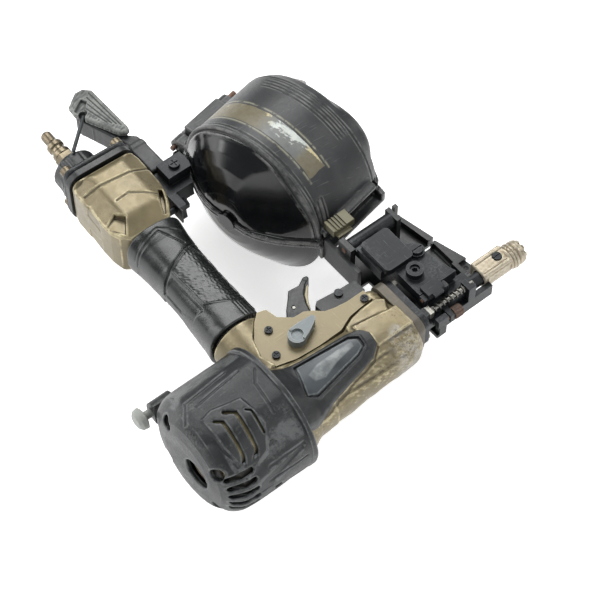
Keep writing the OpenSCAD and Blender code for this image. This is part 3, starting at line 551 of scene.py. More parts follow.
def drum_mat(gloss):
    """drum cover: charcoal band with a worn blank label and dusting; the cone end is glossier"""
    m = N("drum_cover_" + ("near" if gloss else "half"))
    big = m.noise(26, 5, 0.6)
    fine = m.noise(900, 3, 0.6)
    base = m.mix(m.range(big, 0.35, 0.7), lin((12, 13, 14)), lin((17, 18, 20)))
    band = m.attr("band")
    dust = m.math("MULTIPLY", band, m.range(m.noise(38, 6, 0.7, dist=0.5), 0.40, 0.72))
    base = m.mix(m.math("MULTIPLY", dust, 0.45), base, lin((68, 70, 71)))
    base = m.mix(m.math("MULTIPLY", band, 0.35), base, lin((52, 54, 55)))
    # blank label, worn through in ragged patches
    lab = m.attr("label")
    rag = m.noise(120, 7, 0.75)
    ragb = m.noise(26, 5, 0.7, dist=0.8)
    on = m.range(m.math("ADD", lab, m.math("MULTIPLY", m.math("SUBTRACT", rag, 0.5), 0.9)), 0.5, 0.56)
    on = m.math("MULTIPLY", on, m.range(m.math("ADD", ragb, m.math("MULTIPLY", rag, 0.35)), 0.56, 0.60, 1.0, 0.25))
    gold = m.mix(m.range(m.noise(90, 6, 0.7), 0.35, 0.65), lin((164, 148, 96)), lin((188, 178, 140)))
    white = m.mix(m.range(m.noise(110, 6, 0.7), 0.4, 0.6), lin((196, 200, 194)), lin((170, 176, 172)))
    labcol = m.mix(m.attr("white"), gold, white)
    base = m.mix(on, base, labcol)
    line = m.math("MULTIPLY", m.attr("frame"), m.range(m.noise(150, 6, 0.7), 0.40, 0.52))
    base = m.mix(m.math("MULTIPLY", line, 0.8), base, lin((150, 148, 128)))
    e = m.math("MULTIPLY", m.range(m.attr("cv"), 0.15, 0.7), m.range(m.noise(80, 6, 0.7), 0.36, 0.6))
    base = m.mix(m.math("MULTIPLY", e, 0.55), base, lin((120, 121, 118)))
    s1 = m.noise(50, 2, 0.5, m.mapping((1.0, 24, 3), (0.3, 0.1, 0.9)), 0.3)
    l = m.math("MULTIPLY", m.range(s1, 0.67, 0.71), 0.4)
    base = m.mix(m.math("MULTIPLY", l, band), base, lin((96, 97, 97)))
    r0 = m.range(big, 0.3, 0.7, 0.10, 0.17)
    r1 = m.range(fine, 0.3, 0.7, 0.38, 0.54)
    ro = m.n("ShaderNodeMix", data_type="FLOAT")
    m.link(m.math("MAXIMUM", band, on), ro.inputs[0])
    m.link(r0, ro.inputs[2])
    m.link(r1, ro.inputs[3])
    h = m.math("ADD", m.math("MULTIPLY", fine, m.math("MULTIPLY", band, 0.5)), m.math("MULTIPLY", on, 0.6))
    return m.set(base, ro.outputs[0], 0.0, h, 0.00012, **{"Specular_IOR_Level": 0.5})


MAT["drum"] = drum_mat(True)
MAT["window"] = window_mat()


def badge_mat():
    """inset lozenge: blue-grey satin with a rubbed pale area and no lettering"""
    m = N("badge_plate")
    big = m.noise(40, 5, 0.6)
    base = m.mix(m.range(big, 0.35, 0.7), lin((46, 51, 55)), lin((60, 66, 70)))
    mask = m.attr("pale")
    rag = m.noise(90, 3, 0.5)
    on = m.math("MULTIPLY", m.range(mask, 0.1, 0.7), m.range(rag, 0.35, 0.65, 0.25, 0.6))
    base = m.mix(on, base, m.mix(m.range(m.noise(160, 5, 0.7), 0.4, 0.6), lin((150, 154, 152)), lin((120, 125, 125))))
    e = m.math("MULTIPLY", m.range(m.attr("cv"), 0.1, 0.6), m.range(m.noise(95, 6, 0.7), 0.36, 0.6))
    base = m.mix(m.math("MULTIPLY", e, 0.7), base, lin((112, 117, 117)))
    return m.set(base, m.range(big, 0.3, 0.7, 0.32, 0.5), 0.1, m.noise(900, 3), 0.00008)


MAT["badge"] = badge_mat()


def body_mat():
    """main casting: the gold paint, rubbed to grey primer and peppered with grime where it rests on the ground"""
    m = N("main_casting_paint")
    big = m.noise(24, 5, 0.6)
    pep = m.noise(760, 4, 0.8)
    mid = m.noise(120, 6, 0.75, dist=0.4)
    col = m.mix(m.range(big, 0.35, 0.68), lin((104, 95, 72)), lin((126, 115, 87)))
    grey = m.mix(m.range(mid, 0.4, 0.6), lin((124, 120, 110)), lin((152, 148, 138)))
    g = m.math("MULTIPLY", m.range(m.attr("grey"), 0.05, 0.6), m.range(mid, 0.42, 0.56))
    col = m.mix(m.math("MULTIPLY", g, 0.85), col, grey)
    e = m.math("MAXIMUM", m.edge(), m.range(m.attr("cv"), 0.12, 0.6))
    e = m.math("MULTIPLY", e, m.range(m.noise(95, 6, 0.75), 0.36, 0.6))
    col = m.mix(m.math("MULTIPLY", e, 0.6), col, lin((190, 180, 146)))
    dirty = m.math("MAXIMUM", m.range(m.noise(34, 5, 0.7), 0.50, 0.66), m.range(m.attr("grey"), 0.1, 0.7))
    d = m.math("MULTIPLY", m.range(pep, 0.545, 0.60), dirty)
    col = m.mix(m.math("MULTIPLY", d, 0.75), col, lin((58, 52, 44)))
    # painted shade: hollows (negative cv) are darkened toward a dark brown
    col = m.mix(m.math("MULTIPLY", m.range(m.attr("cv"), -0.2, -0.8), 0.7), col, lin((56, 50, 42)))
    r = m.range(m.math("ADD", m.math("MULTIPLY", big, 0.5), m.math("MULTIPLY", mid, 0.5)), 0.35, 0.65, 0.26, 0.48)
    return m.set(col, r, 0.42, m.math("ADD", m.math("MULTIPLY", pep, 0.5), m.math("MULTIPLY", mid, 0.5)), 0.00012)


MAT["body"] = body_mat()



def head_mat():
    """cylinder head: gold paint on the top face, near black lower down"""
    m = N("cylinder_head_paint")
    sx = m.n("ShaderNodeSeparateXYZ")
    m.link(m.co, sx.inputs[0])
    top = m.range(sx.outputs[2], 0.024, 0.030)
    gold = m.mix(m.range(m.noise(60, 5, 0.6), 0.35, 0.68), lin((150, 138, 104)), lin((172, 160, 124)))
    lower_dark_tone = m.mix(m.range(m.noise(80, 5, 0.6), 0.35, 0.68), lin((24, 24, 23)), lin((42, 40, 36)))
    return m.set(m.mix(top, lower_dark_tone, gold), m.range(m.noise(200, 4), 0.3, 0.7, 0.35, 0.5), 0.3, m.noise(900, 3), 0.00005)


MAT["head"] = head_mat()
HS = 1.0

# ---------------------------------------------------------------- pieces built as fields


def hand_xy(x, y):
    """tool frame to handle frame"""
    c, s = math.cos(-HR), math.sin(-HR)
    dx = x + 194.8
    return dx * c - y * s, dx * s + y * c


def cap_piece():
    g = Grid((-278, -40, -44), (-203.5, 57, 45), 0.55 * HS)
    x, y, z = g.x, g.y, g.z
    yc = np.clip(y, 3.5, 13.5)
    rad = hyp(y - yc, z)
    st = rad - 40.3
    # flats on the top and bottom faces and at the two shoulders
    st = smax(st, (np.abs(z) - 39.4), 3.0)
    st = smax(st, (np.abs(y - 8.5) * 0.72 + np.abs(z) * 0.70 - 41.8), 4.0)
    r85 = hyp(y - 8.5, z)[0]
    dome = revolve(g.x[:, 0, 0], r85, [(-275, 0), (-275, 24), (-273.6, 32), (-270, 39.2), (-263, 44.8), (-255, 48.0), (-244, 51.3), (-200, 52.6), (-200, 0)], 60, g.h)
    F = smax(st, dome, 5.0)
    F = smax(F, x + 206.0, 1.2)
    for nx, ny, nz, c in ((-0.62, -0.55, 0.56, 191.6), (-0.62, 0.50, 0.60, 199.6), (-0.45, -0.80, 0.40, 148.8), (-0.30, -0.62, 0.72, 113.8), (-0.62, -0.55, -0.56, 191.6), (-0.62, 0.50, -0.60, 199.6)):
        F = smax(F, x * nx + y * ny + z * nz - c, 1.6)
    for deg in (38, 64, 116, 142, 163):
        for sg in (1, -1):
            ny, nz = -math.cos(math.radians(deg)), sg * math.sin(math.radians(deg))
            off = 40.3 + (3.5 * ny if ny < 0 else 13.5 * ny)
            F = smax(F, (y * ny + z * nz - off) + 0.95, 0.8)
    # front lip and the band behind it
    lip = np.maximum(rad - 40.35, slab(x, -210.0, -206.2))
    F = smin(F, lip, 1.0)
    # raised pad around the slots
    pad = poly2(x, y, [(-262, 9.5), (-253, 11.5), (-233, 7), (-230, -15), (-238, -27), (-257, -32), (-262, -14)])
    F = np.where((z > 0), F - 1.0 * np.clip(0.5 - pad / 1.6, 0, 1), F)
    # moulded crease lines running back over the shoulder
    for pts in ([(-228, 30), (-262, 26), (-270, 14)], [(-222, 24), (-258, 19.5)], [(-216, -33), (-256, -37)], [(-222, -12), (-219, 10), (-213, 18)]):
        d = line2(x, y, pts)
        F = np.where(z > 0, dent(F, d, 0.9, 0.55), F)
    # side crease rings low on the open side
    for zz in (-9, 6, 16):
        d = hyp(z - zz, np.maximum(0, slab(x, -246 + zz * 0.3, -214)))
        F = np.where(y < -10, dent(F, d, 0.9, 0.7), F)
    # inside
    din = revolve(g.x[:, 0, 0], r85, [(-271.2, 0), (-271.2, 28), (-266.8, 36.9), (-259.5, 42.4), (-249, 47.6), (-195, 48.4), (-195, 0)], 60, g.h)
    F = np.maximum(F, -np.maximum(np.maximum(rad - 37.0, np.abs(z) - 36.4), din))
    # chevron slots
    for pts, w in (([(-256, 3.6), (-252, 0.2), (-253.6, -22), (-257, -27)], 0.85), ([(-247.5, 5.2), (-241.6, 0.8), (-243.8, -22), (-249, -28)], 0.95), ([(-235.6, -1.6), (-233, -4), (-234.2, -18)], 0.45)):
        d = line2(x, y, pts) - w
        F = smax(F, -np.maximum(d, 26 - z), 0.5)
        F = np.where(z > 20, dent(F, np.maximum(d, 0), 0.9, 0.25), F)
    # vents along the open side
    for k, ang in enumerate((33, 21.5, 10, -1.5, -13)):
        # ang: angle above the horizontal on the -Y side
        t = math.radians(ang)
        ux, uz = -math.cos(t), math.sin(t)
        rr = (y - 3.5) * ux + z * uz
        vv = (y - 3.5) * uz - z * ux
        d = np.maximum(hyp(np.maximum(slab(x, -268.5, -253.5), 0), vv) - 1.75, 28 - rr)
        F = smax(F, -d, 0.6)
        F = np.where(rr > 30, dent(F, np.maximum(hyp(np.maximum(slab(x, -268.5, -253.5), 0), vv) - 1.75, 0), 0.8, 0.25), F)
    for (x0, z0) in ((-237.5, -5.4), (-247, -14)):
        d = np.maximum(np.maximum(slab(x, x0 - 2.6, x0 + 2.6), slab(z, z0 - 1.5, z0 + 1.5)), y + 25)
        F = smax(F, -d, 0.5)
    # rear opening
    hole = hyp(y * 1.0, z) - 11.0
    F = smax(F, -np.maximum(hole, x + 262), 1.2)
    # screw access
    for yy in (-18, 31):
        for zz in (-20, 20):
            d = np.maximum(hyp(y - yy, z - zz) - 4.7, x + 258)
            F = smax(F, -d, 0.8)
    # pocket low on the shoulder
    d = rbox(x, y, z, -266, -255, -33.5, -27.5, 26, 44, 1.5)
    F = smax(F, -d, 1.0)
    # handle root clearance
    hx, hy = hand_xy(x, y)
    d = np.maximum(hyp(hx, z) - 20.9, 33 - hy)
    F = smax(F, -d, 0.8)
    # rubbed, uneven skin
    F = F + 0.10 * noise3(x, y, z, 17, 3)
    return field_piece("cap_shell", g, F, MAT["cap"], "frame", ["exhaust_cover"])


def casting_piece():
    g = Grid((-223.5, -38.5, -38), (-102.5, 64, 38), 0.7 * HS)
    x, y, z = g.x, g.y, g.z
    r0 = hyp(y, z)[0]
    F = revolve(g.x[:, 0, 0], r0, [(-212, 0), (-212, 25), (-165, 25), (-150, 23.6), (-124, 22.0), (-112, 20.5), (-103.9, 18), (-103.9, 0)], 40, g.h)
    yc = np.clip(y, 3.5, 13.5)
    bell = rnd(hyp(y - yc, z) - 36.4, slab(x, -221, -207), 1.0)
    F = smin(F, bell, 4)
    rear = revolve(g.x[:, 0, 0], r0, [(-208, 0), (-208, 33), (-193, 26.4), (-180, 25), (-180, 0)], 40, g.h)
    F = smin(F, rear, 3)
    nose = rbox(x, y, z, -122, -103.9, -13.5, 33, -16, 16, 6)
    F = smin(F, nose, 6)
    # long shallow ribs down the barrel
    for yy in (-14.5, -20.5):
        d = hyp(y - yy, np.maximum(0, slab(x, -176, -112)))
        F = np.where(z > 0, dent(F, d, 1.0, 0.5), F)
    # flat raised face with a crisp ridge each side
    for s in (1, -1):
        rib = np.maximum(poly2(x, y, [(-134, -8.4), (-103.9, -8.8), (-103.9, 8.4), (-110, 8.6), (-137, 13.2)]), s * z - 21.2)
        F = smin(F, rnd(rib, -s * z, 0.6), 2.2)
        rib = np.maximum(poly2(x, y, [(-140, 12), (-110, 10.4), (-106, 17.5), (-112, 22.5), (-126, 22), (-140, 17)]), s * z - 19.0)
        F = smin(F, rnd(rib, -s * z, 0.6), 2.0)
        lump = rbox(x, y, s * z, -129, -106, -19, -9, 4, 16.5, 5)
        F = smin(F, lump, 5)
    # lower shoulder toward the nose
    low = rbox(x, y, z, -150, -104, -20, -8, -9, 9, 6)
    F = smin(F, low, 7)
    # trigger saddle and handle root
    F = smin(F, rbox(x, y, z, -205, -108, 8, 29.5, -13.8, 13.8, 2), 2.5)
    F = smin(F, rbox(x, y, z, -206, -170, 20, 56, -13.8, 13.8, 2), 2.0)
    hx, hy = hand_xy(x, y)
    F = smin(F, rnd(hyp(hx, z) - 20.3, slab(hy, 18, 61.7), 0.8), 3.0)
    # recess that seats the side plates, and the pocket of the trigger
    pp = poly2(x, y, [(-177, 62), (-171, 60), (-169, 51), (-161, 44), (-153, 43.5), (-148, 40.5), (-142, 35), (-135, 33), (-126, 31.8), (-112, 31.8), (-112, 23.5), (-124, 22.5), (-132, 21.6), (-143, 17), (-161, 16.6), (-179, 18), (-193, 22), (-196, 33), (-192, 46), (-183, 57)])
    F = np.maximum(F, -np.maximum(pp - 0.45, 14.0 - np.abs(z)))
    F = np.maximum(F, -rbox(x, y, z, -167.5, -124, 21, 64, -7, 7, 0.6))
    # dark seam between the plates and the barrel
    d = line2(x, y, [(-196, 21), (-179, 17.2), (-161, 15.8), (-143, 16.2), (-132, 20.7), (-124, 21.7), (-112, 22.6)])
    F = np.where(np.abs(z) > 8, dent(F, d, 0.9, 1.4), F)
    # seat of the side panel
    sp = poly2(x, y, [(-206, 17.6), (-181, 12.6), (-147, 9.6), (-137.6, 6.4), (-133.4, 0.2), (-134.4, -9.3), (-141.6, -14.6), (-151, -16.6), (-178, -21.6), (-187, -23.6), (-206, -24.6)])
    F = np.where(np.abs(z) > 6, dent(F, sp, 0.7, 0.5), F)
    # bores that stay open
    F = np.maximum(F, -rnd(r0[None] - 18.6 + 0 * x, slab(x, -224, -190), 0))
    F = np.maximum(F, -np.maximum(hyp(y, z) - 8, -110 - x))
    for (by, bz) in ((-7, -10.5), (27, -10.5), (27, 10.5)):
        F = np.maximum(F, -np.maximum(hyp(y - by, z - bz) - 2.1, -111 - x))
    F = np.maximum(F, -np.maximum(hyp(x + 158, y - 31) - 2.1, np.abs(z) - 15))
    F = np.maximum(F, -np.maximum(hyp(x + 170, y - 29) - 3.1, np.abs(z) - 15))
    # pebbled worn paint, coarser low on the barrel
    w = np.clip((-y - 4) / 14, 0, 1)
    F = F + (0.05 + 0.07 * w) * noise3(x, y, z, 9.0, 8) + (0.02 + 0.03 * w) * noise3(x, y, z, 3.1, 9)
    P1, Q1 = nets(F, g.lo, g.h)

    # handle core end and end block, in the handle frame
    g2 = Grid((-28.5, 156, -26), (29.5, 224, 26), 0.6 * HS)
    x, y, z = g2.x, g2.y, g2.z
    blk = rbox(x, y, z, -26.5, 27.5, 150, 222, -23.6, 23.6, 9)
    out = poly2(x, y, [(-40, 222), (40, 222), (40, 217), (27.5, 217), (27.5, 190), (25.4, 181), (20, 168), (15, 159.9), (-16, 159.9), (-22.5, 165), (-25.6, 173), (-26.5, 183), (-26.5, 222)])
    B = smax(blk, out, 4)
    # facets on the top face: the gold plane toward the grip falls away
    for s in (1, -1):
        B = smax(B, (s * z - 21.4) * 0.93 + (170 - y) * 0.36, 1.2)
        B = smax(B, (s * z - 22.6) * 0.9 + (-x - 13) * 0.42, 1.2)
        B = smax(B, (s * z - 22.6) * 0.9 + (x - 16) * 0.42, 1.2)
    # rolled lip against the spacer and a moulded line behind it
    B = smin(B, rbox(x, y, z, -27.0, 28.0, 216.5, 222, -24.2, 24.2, 9), 1.2)
    for s in (1, -1):
        d = line2(x, y, [(-22, 207.5), (26, 202.5)])
        B = np.where(s * z > 0, dent(B, d, 0.8, 0.7), B)
        d = line2(x, y, [(-8, 189), (2, 190), (18, 178), (14, 164)])
        B = np.where(s * z > 0, dent(B, d, 0.7, 0.45), B)
        # three-cornered pocket
        t = poly2(x, y, [(-25.5, 177), (-15.5, 181.5), (-10.5, 175), (-17.5, 164.5)])
        B = np.where(s * z > 0, smax(B, -np.maximum(t, 17.5 - s * z), 1.0), B)
        # blank plate seat on the shoulder
        t = poly2(y, z * s, [(186, 6), (200, 8), (199, 16), (186, 15)])
        B = np.where(x < -18, dent(B, np.maximum(t, 0), 1.0, 0.5), B)
    d = hyp(x - 14, y - 171)
    for s in (1, -1):
        B = np.where(s * z > 0, smax(B, -np.maximum(poly2(x, y, [(14, 163), (19.5, 172), (23, 181), (20.5, 182), (16, 173), (12.6, 164)]), 14 - s * z), 0.6), B)
    core = rnd(hyp(x, z) - 17.0, slab(y, 60, 166), 0.5)
    B = np.minimum(B, core)
    B = np.maximum(B, -np.maximum(hyp(x + 7.8, z) - 12.6, 205 - y))
    B = B + 0.03 * noise3(x, y, z, 9, 11)
    P2, Q2 = nets(B, g2.lo, g2.h)
    A = np.array(M_HAND)
    P2w = P2 @ A[:3, :3].T + A[:3, 3] * 1000
    o = new_mesh("casting", np.vstack([P1, P2w]), np.vstack([Q1, Q2 + len(P1)]))
    cvs = []
    for Fd, gg, PP in ((F, g, P1), (B, g2, P2)):
        e = min(1.5 * gg.h, 0.9)
        lap = -6 * sample(Fd, gg, PP)
        for ax in range(3):
            for s in (-1, 1):
                D = PP.copy()
                D[:, ax] += s * e
                lap = lap + sample(Fd, gg, D)
        cvs.append(np.clip(lap / (e * e) * 2.0, -2, 2))
    a = o.data.attributes.new("cv", "FLOAT", "POINT")
    a.data.foreach_set("value", np.concatenate(cvs).astype(f32))
    # rubbed grey zone low by the nose
    W = np.vstack([P1, P2w])
    grey = np.exp(-(((W[:, 0] + 114) / 12) ** 2)) * np.clip((-W[:, 1] + 0) / 10, 0, 1) * (W[:, 1] < 30)
    a = o.data.attributes.new("grey", "FLOAT", "POINT")
    a.data.foreach_set("value", grey.astype(f32))
    setup(o, MAT["body"], "frame", ["body_housing"])
    return o


def panel_piece():
    """black side panel with an inset blank lozenge"""
    g = Grid((-208.5, -31, 4), (-131, 23, 39), 0.5 * HS)
    x, y, z = g.x, g.y, g.z
    r = hyp(y, z)
    out = poly2(x, y, [(-207.5, 19), (-196, 14), (-181, 12), (-147, 9), (-138, 6), (-134, 0), (-135, -9), (-142, -14), (-151, -16), (-178, -20.5), (-188, -23.5), (-198, -27), (-207.5, -28.5)])
    skin = revolve(g.x[:, 0, 0], r[0], [(-214, 0), (-214, 37), (-208, 35.9), (-193, 29.6), (-186, 28.0), (-178, 27.6), (-125, 27.6), (-125, 0)], 45, g.h)
    core = revolve(g.x[:, 0, 0], r[0], [(-214, 0), (-214, 33), (-208, 31.6), (-193, 26.2), (-186, 24.8), (-178, 24.4), (-120, 24.4), (-120, 0)], 45, g.h)
    F = rnd(out, np.maximum(skin, -core), 0.9)
    F = np.maximum(F, x + 131.5)
    F = np.maximum(F, -(z - 6))
    rim = np.abs(poly2(x, y, [(-189, 10.2), (-148, 5.8), (-141.5, 1.2), (-142.5, -6.8), (-150, -10.4), (-189, -16.6), (-197, -13)])) - 0.9
    F = smin(F, rnd(rim, np.maximum(r - 29.0, 26 - r), 0.4), 0.8)
    seat = poly2(x, y, [(-189, 9.6), (-148, 5.2), (-142.2, 0.9), (-143.1, -6.4), (-150, -9.7), (-189, -15.8), (-196, -12.6)])
    F = np.maximum(F, -np.maximum(seat, 27.0 - r))
    F = np.maximum(F, -(z - 6))
    F = F + 0.05 * noise3(x, y, z, 6, 21)
    field_piece("side_panel_shell", g, F, MAT["blk"], "frame", ["side_panel"])
    g = Grid((-199, -19, 4), (-140, 12, 31), 0.45 * HS)
    x, y, z = g.x, g.y, g.z
    r = hyp(y, z)
    loz = poly2(x, y, [(-188, 8.2), (-148.5, 4.1), (-143.6, 0.5), (-144.3, -5.8), (-150.4, -8.5), (-188, -14.4), (-194.5, -11.8)])
    F = rnd(loz, np.maximum(r - 28.3, 26.2 - r), 0.8)
    F = np.maximum(F, -(z - 6))

    def pale(P):
        d = poly2(P[:, 0], P[:, 1], [(-185, -1.5), (-176, 1.2), (-160, 1.4), (-149, 0.9), (-149.5, -2.2), (-165, -4.6), (-177, -8.5), (-184, -7)])
        return np.clip(0.5 - d / 2.4, 0, 0.8)

    field_piece("side_panel_badge", g, F, MAT["badge"], "frame", ["side_panel"], attrs={"pale": pale})


def drum_attrs():
    def band(P):
        return np.clip((P[:, 0] + 1.5) / 2.0, 0, 1)

    def ang(P):
        return np.degrees(np.arctan2(P[:, 1], P[:, 2]))

    def label(P):
        a = ang(P)
        c = 20 + 0.10 * (0 - a) * 0
        w = 7.5
        s = P[:, 0]
        m = np.minimum(np.clip((w - np.abs(s - 21)) / 1.2, -1, 1), np.clip((a + 44) / 2.5, -1, 1))
        m = np.minimum(m, np.clip((58 - a) / 3, -1, 1))
        return np.where(P[:, 2] > 0, np.clip(0.5 + m * 0.5, 0, 1), 0)

    def white(P):
        a = ang(P)
        w = np.clip((8 - a) / 10, 0, 1) * np.clip((a + 30) / 5, 0, 1)
        return w

    def frame_(P):
        a = ang(P)
        s = P[:, 0]
        d = np.minimum(np.abs(s - 12.2), np.abs(s - 30.6))
        return np.exp(-((d / 0.6) ** 2)) * ((a > -47) & (a < 60) & (P[:, 2] > 0))

    return {"band": band, "label": label, "white": white, "frame": frame_}


CONE_OUT = [(-23.8, 0), (-23.6, 14), (-22.2, 22), (-19.0, 30.5), (-14.2, 39.5), (-8.6, 48), (-3.2, 55), (0, 60)]
CONE_IN = [(-21.4, 0), (-21.2, 12.8), (-20, 20.6), (-17.0, 28.6), (-12.4, 37.2), (-7.0, 45.9), (-1.8, 53.4), (1.0, 57.5)]


def cover_piece():
    g = Grid((-27, -65, -8), (74, 80, 64), 0.65 * HS)
    x, y, z = g.x, g.y, g.z
    rr = hyp(y, z)
    out = revolve(g.x[:, 0, 0], rr[0], CONE_OUT + [(60, 60), (66, 57), (70, 51), (71, 44), (71, 0)], 70, g.h)
    # shallow facet low on the cone
    facet = (-x - 10) * 0.86 + (-y) * 0.36 + z * 0.36 - 19.6
    out = smax(out, facet, 1.0)
    F = out
    # far end bulge on the trigger side
    bulge = cylf(y, z, x, 27, -22, 24, 58, 71, 4)
    F = smin(F, bulge, 3)
    # rim bead and hoops
    for s0, s1, dr in ((0.6, 4.2, 0.9),):
        F = smin(F, rnd(rr - (60 + dr), slab(x, s0, s1), 0.5), 0.8)
    F = dent(F, hyp(x + 0.4, np.maximum(0, 50 - rr)), 0.55, 0.9)
    F = dent(F, hyp(x - 5.2, np.maximum(0, 50 - rr)), 0.5, 0.6)
    for s in (49.6, 52.2, 54.8, 57.4):
        an = np.degrees(np.arctan2(y, z))
        lim = np.clip((an + 40) / 4, 0, 1) * np.clip((34 - an) / 4, 0, 1)
        F = F + (0.55 * np.exp(-(((x - s) / 0.5) ** 2)) * lim * (rr > 50)).astype(f32)
    F = dent(F, hyp(x - 59.2, np.maximum(0, 50 - rr)), 0.6, 0.8)
    # hollow
    inn = revolve(g.x[:, 0, 0], rr[0], CONE_IN + [(59, 57.4), (64.6, 54.8), (67.6, 50), (68.4, 44), (68.4, 0)], 70, g.h)
    inn = np.maximum(inn, facet + 2.4)
    half = 0.35 - z
    F = np.maximum(np.maximum(F, half), -np.maximum(inn, -1e3))
    # parting lip, stepped
    lip = out - 1.9
    band = np.maximum(np.maximum(lip, slab(z, 0.35, 3.2)), -inn)
    F = smin(F, band, 0.8)
    F = dent(F, hyp(z - 4.6, np.maximum(0, 30 - rr)), 0.5, 0.35)
    # hinge knuckle on the far side
    kn = rnd(hyp(y - 74, z + 6) - 4.5, slab(x, 14.6, 49.4), 0.8)
    arm = rbox(x, y, z, 14.6, 49.4, 57.5, 75, -5.5, 5.2, 1.2)
    F = smin(F, smin(kn, arm, 1.5), 1.5)
    F = np.maximum(F, -(hyp(y - 74, z + 6) - 2.1 + 0 * x))
    # opening toward the feeder, and the tray post
    F = np.maximum(F, -rbox(x, y, z, 3, 64, -72, -30, -9, 9.3, 0.5))
    F = np.maximum(F, -np.maximum(hyp(y, z) - 5.6, x + 12))
    # window slot
    an = np.degrees(np.arctan2(z, y))
    wn = np.maximum(np.maximum(slab(rr, 40.2, 46.4), slab(x, 60, 74)), (np.abs(an - 50) - 21.8) * 0.75)
    F = np.maximum(F, -wn)
    # flap over the neck (tool frame shape brought into this frame)
    cc, ss = math.cos(DT), math.sin(DT)
    wx = -114.8 + x * cc - y * ss
    wy = 147.7 + x * ss + y * cc
    flap = rnd(poly2(wx, wy, [(-103, 77.5), (-52, 77.5), (-47, 97), (-50, 108), (-98, 98)]), slab(z, 9.5, 13.0), 0.7)
    F = smin(F, flap, 2.0)
    for (a, b) in (((-100, 84), (-100, 97)), ((-96, 84), (-96, 98.5)), ((-92, 86), (-92, 99.5))):
        d = line2(wx, wy, [a, b])
        F = np.where(z > 12, dent(F, d, 0.8, 0.7), F)
    F = F + 0.03 * noise3(x, y, z, 26, 31)
    o = field_piece("drum_cover", g, F, MAT["drum"], "magazine_cover", ["magazine_cover"], M_DRUM, drum_attrs())
    return o


def window_piece():
    g = Grid((56, -4, 6), (78, 44, 56), 0.5 * HS)
    x, y, z = g.x, g.y, g.z
    rr = hyp(y, z)
    an = np.degrees(np.arctan2(z, y))
    plug = np.maximum(np.maximum(slab(rr, 40.5, 46.1), slab(x, 61, 73)), (np.abs(an - 50) - 21.2) * 0.75)
    pane = rnd(np.maximum(slab(rr, 38.6, 48.0), (np.abs(an - 50) - 23.5) * 0.75), slab(x, 71.3, 76.0), 2.2)
    field_piece("window_pane", g, smin(plug, pane, 0.6), MAT["window"], "magazine_cover", ["cover_window"], M_DRUM)


def base_piece():
    g = Grid((-28, -66, -63), (74, 80, 5), 0.75 * HS)
    x, y, z = g.x, g.y, g.z
    rr = hyp(y, z)
    out = revolve(g.x[:, 0, 0], rr[0], CONE_OUT + [(60, 60), (66, 57), (70, 51), (71, 44), (71, 0)], 70, g.h)
    inn = revolve(g.x[:, 0, 0], rr[0], CONE_IN + [(59, 57.4), (64.6, 54.8), (67.6, 50), (68.4, 44), (68.4, 0)], 70, g.h)
    F = np.maximum(np.maximum(out, z + 0.0), -inn)
    F = smin(F, np.maximum(rnd(rr - 61.0, slab(x, 0.6, 4.2), 0.5), -inn), 0.8)
    F = np.maximum(F, z)
    for s in (16, 30, 44):
        F = dent(F, hyp(x - s, np.maximum(0, 50 - rr)), 0.6, 0.5)
    lip = out - 1.8
    F = smin(F, np.maximum(np.maximum(lip, slab(z, -3.0, 0.0)), -inn), 0.8)
    F = np.maximum(F, z)
    for s0 in (4, 50):
        lug = smin(rnd(hyp(y - 74, z + 6) - 4.6, slab(x, s0, s0 + 10), 0.7), rbox(x, y, z, s0, s0 + 10, 57.5, 74, -10.6, -0.6, 1), 1)
        F = smin(F, lug, 1.2)
    F = np.maximum(F, -(hyp(y - 74, z + 6) - 2.05 + 0 * x))
    boss = np.maximum(np.maximum(hyp(y, z) - 8, slab(x, -23.4, -12)), z)
    web = np.maximum(np.maximum(slab(y, -3, 3), slab(x, -22.5, -14)), out)
    F = np.minimum(F, np.maximum(boss, z))
    F = np.minimum(F, np.maximum(web, z + 4))
    cut = rbox(x, y, z, 3, 62, -72, -40, -9.0, 6, 0.5)
    F = np.maximum(F, -cut)
    F = np.maximum(F, -np.maximum(hyp(y, z) - 5.05, x + 8))
    cc, ss = math.cos(DT), math.sin(DT)
    wx = -114.8 + x * cc - y * ss
    wy = 147.7 + x * ss + y * cc
    for pts, z0, z1 in (([(-101.5, 84.3), (-38, 84.3), (-38, 104), (-46, 106), (-99, 96)], -12.4, -9.1), ([(-104.4, 84.3), (-101.5, 84.3), (-98.5, 97), (-101.4, 97)], -12.4, -0.2), ([(-42, 84.3), (-38.2, 84.3), (-37, 104), (-41, 105)], -12.4, -3.4)):
        F = smin(F, rnd(poly2(wx, wy, pts), slab(z, z0, z1), 0.5), 0.8)
    F = np.maximum(F, -np.maximum(hyp(x - 9, y - 65.5) - 2.1, np.abs(z + 6) - 8))
    at = drum_attrs()
    zero = lambda P: np.zeros(len(P))
    return field_piece("drum_base", g, F, MAT["drum"], "frame", ["magazine_base"], M_DRUM, {"band": at["band"], "label": zero, "white": zero, "frame": zero})


